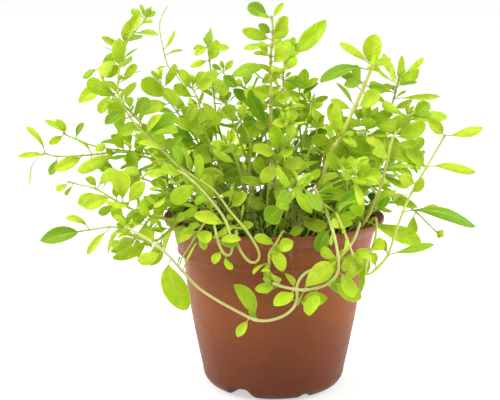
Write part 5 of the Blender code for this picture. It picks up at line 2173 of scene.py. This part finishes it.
@dataclass
class Undergrowth:
    """Short sprigs and thin strands low on the mix, in the shade of the shoots, which their leaves get as
    painted shade.
    """

    room: Surroundings
    sprigs: int = 170
    reach: float = 51.5 * MM
    height: Pair = (7.0 * MM, 24.0 * MM)
    leaf_length: Pair = (5.0 * MM, 10.5 * MM)
    lean: float = 0.6  # how far a sprig may lean, for its height
    bend: float = 0.3
    pair_spacing: float = 6.0 * MM
    girth: float = 0.42
    taper: float = 0.5
    slimness: float = 0.6

    def build(self, leaf_finish: Material, stem_finish: Material) -> None:
        """Makes the two pieces: the stems of the sprigs, and their leaves.

        Args:
            leaf_finish: The material of the leaves.
            stem_finish: The material of the stems.
        """
        luck = random.Random("undergrowth")
        stems, blades = Skin(), Skin()
        for _ in range(self.sprigs):
            foot = chance_spot(luck, self.reach, POT_SHAPE.soil_edge * MM)
            top = luck.uniform(*self.height)
            top *= 1 + 0.7 * max(0.0, foot.y) / self.reach
            lean = leaning(luck, self.lean, 1) * top
            bend = leaning(luck, self.bend, 0) * top
            route = [tuple(stop / MM) for stop in (foot, foot + lean * 0.45 + bend, foot + lean)]
            stem = Stem(route, luck.uniform(0, 1.5))
            if self.room.take(*stem.tube(0)):
                nodes = self.leaf_sprig(stem, blades, luck)
                StemSkin(stem, nodes, self.girth, self.taper).add_to(stems, (luck.random() * 0.4, 0, 0))
        stems.make("undergrowth_stems", stem_finish, Slot.FOLIAGE, Edge.STEM)
        blades.make("undergrowth_leaves", leaf_finish, Slot.FOLIAGE, Edge.LEAF)

    def leaf_sprig(self, stem: Stem, blades: Skin, luck: random.Random) -> list[float]:
        """Puts pairs of leaves on a sprig.

        Args:
            stem: The sprig's stem.
            blades: The piece that takes the leaves.
            luck: The draws for the undergrowth.

        Returns:
            The lengths at which it bears leaves.
        """
        nodes = []
        pairs = max(1, int(stem.total / self.pair_spacing))
        for pair in range(pairs):
            place = stem.total * (pair + 1) / pairs - 0.3 * MM
            _, heading, _, _ = stem.frame(place)
            for face in PAIRS[pair % 2]:
                outward = stem.outward(place, face)
                reach = (outward + heading * luck.uniform(0.2, 0.8)).normalized()
                reach *= luck.uniform(*self.leaf_length)
                leaf = Leaf(stem, place, face, reach, UP + outward * -0.3, self.slimness)
                skin = LeafSkin(leaf, BladeForm.draw(luck))
                if self.room.take(*skin.shell()):
                    # painted shade: the sprigs' leaves are set old and deep, so that they are painted dark
                    # as in the shade of the shoots
                    kind = (luck.random(), luck.uniform(0.4, 1.0), luck.uniform(0.3, 1.0))
                    skin.add_to(blades, kind, self.leaf_length[1])
                    nodes.append(place)
        return nodes or [stem.total]


class Spot(NamedTuple):
    """A point of the pot's turned outline in millimetres, and how much it is worn paler with painted
    highlight.
    """

    radius: float
    height: float
    rubbed: float = 0.0


def straight(start: Spot, end: Spot, steps: int) -> list[Spot]:
    """Even steps from one spot to another, without the last."""
    return [Spot(*(a + (b - a) * i / steps for a, b in zip(start, end))) for i in range(steps)]


@dataclass
class NurseryPot:
    """The thin moulded pot: tapered body, banded rim, flared lip and pockets under its edge."""

    sides: int = 256
    pockets: int = 6
    first_pocket: float = math.radians(-31)
    large_pocket: Pair = (18.0 * MM, 6.4 * MM)
    small_pocket: Pair = (9.0 * MM, 3.2 * MM)
    pocket_start: float = 21.0 * MM
    entry: float = 1.6 * MM  # how far a pocket takes to rise behind its start
    drain_radius: float = 2.8 * MM
    drain_place: Pair = (26.5 * MM, 7.0 * MM)  # its middle: radius and height
    drain_depth: float = 8.0 * MM
    drain_sides: int = 32

    def outside(self) -> list[Spot]:
        """The outside of the outline, from the middle of the base to the top of the lip.

        Returns:
            The spots.
        """
        under = [Spot(0, 0.9), Spot(9.6, 0.9), Spot(10, 0.55), Spot(11, 0.55), Spot(11.4, 0.9)]
        under += [Spot(19, 0.8), Spot(19.8, 0.3)]
        under += straight(Spot(20.6, 0), Spot(POT_SHAPE.base_radius, 0), 12)
        foot = [Spot(*POT_SHAPE.foot(turn)) for turn in np.linspace(0, math.pi / 2, 15)[:-1]]
        heights = np.linspace(POT_SHAPE.body_foot[1], POT_SHAPE.body_top[1] - 0.8, 30)
        body = [Spot(*POT_SHAPE.side(height)) for height in heights]
        # the third number of a spot is how much it is worn paler with a painted highlight
        ledge = [
            Spot(49.3, 73.9), Spot(49.6, 74.3), Spot(50.3, 74.5), Spot(51.3, 74.6), Spot(52.1, 74.85, 0.3),
            Spot(52.55, 75.4, 0.8), Spot(52.7, 76.1, 1.0), Spot(52.65, 76.8, 0.6), Spot(52.5, 77.5, 0.1),
        ]
        band = straight(Spot(52.55, 78.2), Spot(54.6, 86.8), 8)
        bead = [
            Spot(54.6, 86.8, 0.1), Spot(54.7, 87.4, 0.5), Spot(55.0, 87.9, 1.0), Spot(55.5, 88.2, 1.0),
            Spot(55.9, 88.7, 0.4),
        ]
        flare = straight(Spot(56.3, 89.1), Spot(59.3, 92.0), 5)
        lip = [
            Spot(59.4, 92.2), Spot(59.8, 92.8), Spot(60, 93.5, 0.2), Spot(60, 94.0, 0.4),
            Spot(59.85, 94.4, 0.7), Spot(59.5, 94.65, 0.9), Spot(59.2, 94.7, 0.8), Spot(58.9, 94.55, 0.5),
        ]
        return [*under, *foot, *body, *ledge, *band, *bead, *flare, *lip]

    def inside(self) -> list[Spot]:
        """The inside of the outline, from the lip down to the middle of the floor.

        Returns:
            The spots.
        """
        wall = POT_SHAPE.wall
        rim = [Spot(58.7, 94.1), Spot(58.4, 93.0), Spot(57.9, 92.0), Spot(55.0, 89.4), Spot(53.7, 88.2)]
        band = straight(Spot(53.4, 87.4), Spot(51.3, 77.4), 6)
        ledge = [Spot(51.2, 76.6), Spot(50.6, 75.9), Spot(49.2, 75.7), Spot(48.3, 75.2)]
        heights = np.linspace(POT_SHAPE.body_top[1], POT_SHAPE.body_foot[1], 16)
        body = [Spot(*POT_SHAPE.side(height, wall)) for height in heights]
        foot = [Spot(*POT_SHAPE.foot(turn, wall)) for turn in np.linspace(math.pi / 2, 0, 12)[1:]]
        floor = [Spot(24, wall), Spot(20, wall + 0.3), Spot(19, wall + 0.8)]
        floor += [Spot(9, wall + 0.9), Spot(0, wall + 0.9)]
        return [*rim, *band, *ledge, *body, *foot, *floor]

    def pocket_roof(self, x: np.ndarray, y: np.ndarray, grow: float) -> np.ndarray:
        """How high the pockets lift the base at these places.

        Args:
            x: Places along X, in metres.
            y: Places along Y, in metres.
            grow: How much larger than the pockets the lifted part is, such as a wall.

        Returns:
            The height of the roof, or 0 outside the pockets.
        """
        roof = np.zeros_like(x)
        for pocket in range(self.pockets):
            width, height = (self.large_pocket, self.small_pocket)[pocket % 2]
            way = at_angle(1, 0, self.first_pocket + math.tau * pocket / self.pockets)
            out = x * way.x + y * way.y
            beside = np.abs(x * way.y - y * way.x)
            half = width / 2 + grow
            arch = smooth_step((half - beside) / (half * 0.45))
            entry = smooth_step((out - self.pocket_start + grow) / self.entry)
            roof = np.maximum(roof, (height + grow) * arch * entry)
        return roof

    def build(self, finish: Material) -> None:
        """Makes the pot, which stands for its CAD node.

        Args:
            finish: Its material.
        """
        outside = self.outside()
        spots = [*outside, *self.inside()]
        turns = np.linspace(0, math.tau, self.sides, endpoint=False)
        radius = np.array([spot.radius for spot in spots])[:, None] * MM
        height = np.array([spot.height for spot in spots])[:, None] * MM * np.ones((1, self.sides))
        x, y = radius * np.sin(turns), -radius * np.cos(turns)
        halves = (slice(0, len(outside)), 0), (slice(len(outside), None), POT_SHAPE.wall * MM)
        for half, grow in halves:
            height[half] = np.maximum(height[half], self.pocket_roof(x[half], y[half], grow))
        points = np.stack([x, y, height], 2)
        mesh = turned_mesh("nursery_pot", points[1:-1], (points[0, 0], points[-1, 0]))
        # how worn and painted with highlight the ledges are, which the finish reads
        rubbed = np.zeros((len(mesh.vertices), 3))
        rubbed[:-2, 0] = np.repeat([spot.rubbed for spot in spots[1:-1]], self.sides)
        store(mesh, "place", rubbed)
        add_piece("nursery_pot", self.drilled(mesh), finish, Slot.POT, Edge.POT, "pot")

    def drilled(self, mesh: Mesh) -> Mesh:
        """Cuts a drain hole through the roof of each large pocket.

        Args:
            mesh: The pot without its holes.

        Returns:
            The pot with them.
        """
        holes = bmesh.new()
        for pocket in range(0, self.pockets, 2):
            angle = self.first_pocket + math.tau * pocket / self.pockets
            made = bmesh.ops.create_cone(
                holes, cap_ends=True, segments=self.drain_sides, radius1=self.drain_radius,
                radius2=self.drain_radius, depth=self.drain_depth,
            )
            bmesh.ops.translate(holes, verts=made["verts"], vec=at_angle(*self.drain_place, angle))
        cuts = bpy.data.meshes.new("drain_holes")
        holes.to_mesh(cuts)
        holes.free()
        whole, cutter = (bpy.data.objects.new(each.name, each) for each in (mesh, cuts))
        for piece in (whole, cutter):
            bpy.context.scene.collection.objects.link(piece)
        step = whole.modifiers.new("drain holes", "BOOLEAN")
        step.operation = "DIFFERENCE"
        step.object = cutter
        graph = bpy.context.evaluated_depsgraph_get()
        made = bpy.data.meshes.new_from_object(whole.evaluated_get(graph))
        for piece in (whole, cutter):
            bpy.data.objects.remove(piece)
        return made


def smooth_step(values: np.ndarray) -> np.ndarray:
    """0 below 0, 1 above 1 and a smooth rise between."""
    held = np.clip(values, 0, 1)
    return held * held * (3 - 2 * held)


@dataclass
class PottingMix:
    """The peat mix: its uneven top, and the crumbs, bark and straw that lie loose on it."""

    pot: NurseryPot
    gap: float = 0.3  # between the mix and the pot, in millimetres
    sides: int = 128
    top_rings: int = 44
    level_radius: float = 52.0 * MM  # where the mound has come down to the mix's edge
    roughness: float = 1.3 * MM
    lumps: float = 160.0  # how many there are to the metre
    # The mix's outline at the pot's ledge and band, as a radius and a height in millimetres.
    edge: tuple[Pair, ...] = ((49.0, 76.6), (50.8, 77.6), (52.0, 83.5), (52.4, 85.0))
    crumbs: int = 1300
    straw_over: float = 0.93  # crumbs whose draw is over this are straw
    bark_over: float = 0.8
    loose_reach: float = 51.5 * MM

    def height(self, x: float, y: float) -> float:
        """The height of the mix's top at a place.

        Args:
            x: The place along X.
            y: The place along Y.

        Returns:
            The height.
        """
        share = min(1.0, math.hypot(x, y) / self.level_radius)
        mound = (POT_SHAPE.soil_crown + (POT_SHAPE.soil_edge - POT_SHAPE.soil_crown) * share) * MM
        lumps = noise.fractal(Vector((x, y, 0)) * self.lumps, 0.9, 2.1, 4)
        return mound + self.roughness * (lumps * 0.8 - 0.15) * (1 - share**8)

    def build(self, finish: Material) -> None:
        """Makes the mix, which stands for its CAD node.

        Args:
            finish: Its material.
        """
        inset = POT_SHAPE.wall + self.gap
        low = [(0.0, inset + 1.0), (18.0, inset + 1.0), (POT_SHAPE.base_radius - 1, inset)]
        heights = np.linspace(POT_SHAPE.body_foot[1] + 1.5, POT_SHAPE.body_top[1], 12)
        low += [POT_SHAPE.side(height, inset) for height in heights]
        low += self.edge
        rim = self.edge[-1][0]
        top = [(rim * (1 - step / self.top_rings), 0.0) for step in range(self.top_rings)]
        turns = np.linspace(0, math.tau, self.sides, endpoint=False)
        rows = []
        for number, (radius, height) in enumerate([*low[1:], *top]):
            x, y = radius * MM * np.sin(turns), -radius * MM * np.cos(turns)
            if number < len(low) - 1:
                level = np.maximum(height * MM, self.pot.pocket_roof(x, y, inset * MM))
            else:
                level = np.array([self.height(a, b) for a, b in zip(x, y)])
            rows.append(np.stack([x, y, np.broadcast_to(level, x.shape)], 1))
        ends = [(0, 0, low[0][1] * MM), (0, 0, self.height(0, 0))]
        mesh = turned_mesh("peat_mix", np.stack(rows), ends)
        add_piece("peat_mix", mesh, finish, Slot.MIX, Edge.NONE, "potting_mix")

    def scatter(self, finish: Material) -> None:
        """Makes the loose crumbs, bark and straw as one piece.

        Args:
            finish: Their material.
        """
        luck = random.Random("crumbs")
        lump_points, lump_faces = lump()
        loose = Skin()
        for _ in range(self.crumbs):
            spot = chance_spot(luck, self.loose_reach, 0)
            kind = luck.random()
            if kind > self.straw_over:
                size = (luck.uniform(2, 5), luck.uniform(0.25, 0.5), luck.uniform(0.2, 0.4))
            elif kind > self.bark_over:
                size = (luck.uniform(1.2, 2.8), luck.uniform(0.6, 1.3), luck.uniform(0.3, 0.7))
            else:
                size = tuple(luck.uniform(0.35, 1.15) for _ in range(3))
            shape = lump_points * np.array(size) * MM
            shape = shape * (1 + 0.22 * np.array([[luck.uniform(-1, 1)] for _ in lump_points]))
            tilt = Quaternion(leaning(luck, 0.5, 1), luck.uniform(0, math.tau))
            shape = shape @ np.array(tilt.to_matrix()).T
            level = self.height(spot.x, spot.y) + 0.35 * min(size) * MM
            centre = np.array((spot.x, spot.y, level))
            loose.add(shape + centre, lump_faces, np.zeros((len(shape), 3)), (kind, luck.random(), 0))
        loose.make("mix_crumbs", finish, Slot.MIX, Edge.CRUMB)


def lump() -> tuple[np.ndarray, np.ndarray]:
    """A rounded lump about one unit in radius, of 26 points and 24 four-sided faces.

    Returns:
        Its points, and its faces with four indices a row.
    """
    shape = bmesh.new()
    bmesh.ops.create_cube(shape, size=2)
    bmesh.ops.subdivide_edges(shape, edges=shape.edges, cuts=1, use_grid_fill=True)
    points = np.array([tuple(vertex.co.normalized()) for vertex in shape.verts])
    faces = np.array([[vertex.index for vertex in face.verts] for face in shape.faces])
    shape.free()
    return points, faces


@dataclass(frozen=True)
class Studio:
    """A pale floor, soft light from all round and a camera a little above the plant."""

    floor_size: float = 30.0
    camera_place: Triple = (-0.013, -0.749, 0.246)
    camera_pitch: float = -0.1891
    lens: float = 101.0
    sensor: float = 36.0
    front_glow: float = 0.22
    back_glow: float = 0.95
    lit_place: Triple = (0.0, 0.0, 0.1)  # where the lamps look

    def lay_floor(self) -> None:
        """The floor, which isn't part of the object."""
        half = self.floor_size / 2
        mesh = bpy.data.meshes.new("floor")
        corners = [(-half, -half, 0), (half, -half, 0), (half, half, 0), (-half, half, 0)]
        mesh.from_pydata(corners, [], [(0, 1, 2, 3)])
        mesh.materials.append(FloorFinish().build())
        floor = bpy.data.objects.new("floor", mesh)
        bpy.context.scene.collection.objects.link(floor)
        floor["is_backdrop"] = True

    def light(self) -> None:
        """The world, which is brighter behind the plant, and three broad lamps."""
        world = bpy.data.worlds.new("soft studio")
        bpy.context.scene.world = world
        world.use_nodes = True
        sky = Nodes(world.node_tree)
        sky.tree.nodes.clear()
        _, depth, _ = sky.split(sky.node("TexCoord").outputs["Generated"])
        glow, white = sky.node("Background"), sky.node("Background")
        strength = sky.fade(depth, -1.0, 0.0, self.front_glow, self.back_glow, kind="LINEAR")
        sky.feed(glow.inputs["Strength"], strength)
        mixed = sky.mix_shaders(sky.seen_directly(), glow.outputs[0], white.outputs[0])
        sky.feed(sky.node("OutputWorld").inputs[0], mixed)
        self.lamp("left", (-1.6, -0.1, 0.95), 1.3, 26.0)
        self.lamp("right", (1.6, 0.0, 0.85), 1.3, 24.0)
        self.lamp("top", (-0.2, -0.5, 1.7), 0.8, 14.0)

    def lamp(self, name: str, place: Triple, size: float, power: float) -> None:
        """A square lamp that looks at the plant.

        Args:
            name: Its name.
            place: Where it is.
            size: The length of its side.
            power: Its power in watts.
        """
        data = bpy.data.lights.new(name, "AREA")
        data.size = size
        data.energy = power
        lamp = bpy.data.objects.new(name, data)
        lamp.location = place
        lamp.rotation_euler = (Vector(self.lit_place) - Vector(place)).to_track_quat("-Z", "Y").to_euler()
        bpy.context.scene.collection.objects.link(lamp)

    def set_camera(self) -> None:
        """The camera."""
        data = bpy.data.cameras.new("camera")
        data.lens = self.lens
        data.sensor_width = self.sensor
        camera = bpy.data.objects.new("camera", data)
        camera.location = self.camera_place
        camera.rotation_euler = (math.pi / 2 + self.camera_pitch, 0, 0)
        bpy.context.scene.collection.objects.link(camera)
        bpy.context.scene.camera = camera

    def build(self) -> None:
        """Sets up the whole studio."""
        self.lay_floor()
        self.light()
        self.set_camera()
        bpy.context.scene.view_settings.view_transform = "Standard"


def write_sizes() -> None:
    """Works out the CAD model's box and the visual model's box."""
    boxes = {"cad": CAD_BOX, "visual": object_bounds()}
    {name: [list(corner) for corner in box] for name, box in boxes.items()}


def main() -> None:
    """Builds the studio and every sub-assembly in order; each piece is reported as it is made."""
    logging.basicConfig(level=logging.INFO, format="%(message)s")
    Studio().build()
    pot = NurseryPot()
    pot.build(PotFinish().build())
    mix = PottingMix(pot)
    mix.build(MixFinish().build())
    mix.scatter(CrumbFinish().build())
    leaf_finish, stem_finish = LeafFinish().build(), StemFinish().build()
    foliage = Foliage(GrowthPlan())
    foliage.build(leaf_finish, stem_finish)
    Undergrowth(foliage.room).build(leaf_finish, stem_finish)
    write_sizes()


if __name__ == "__main__":
    main()
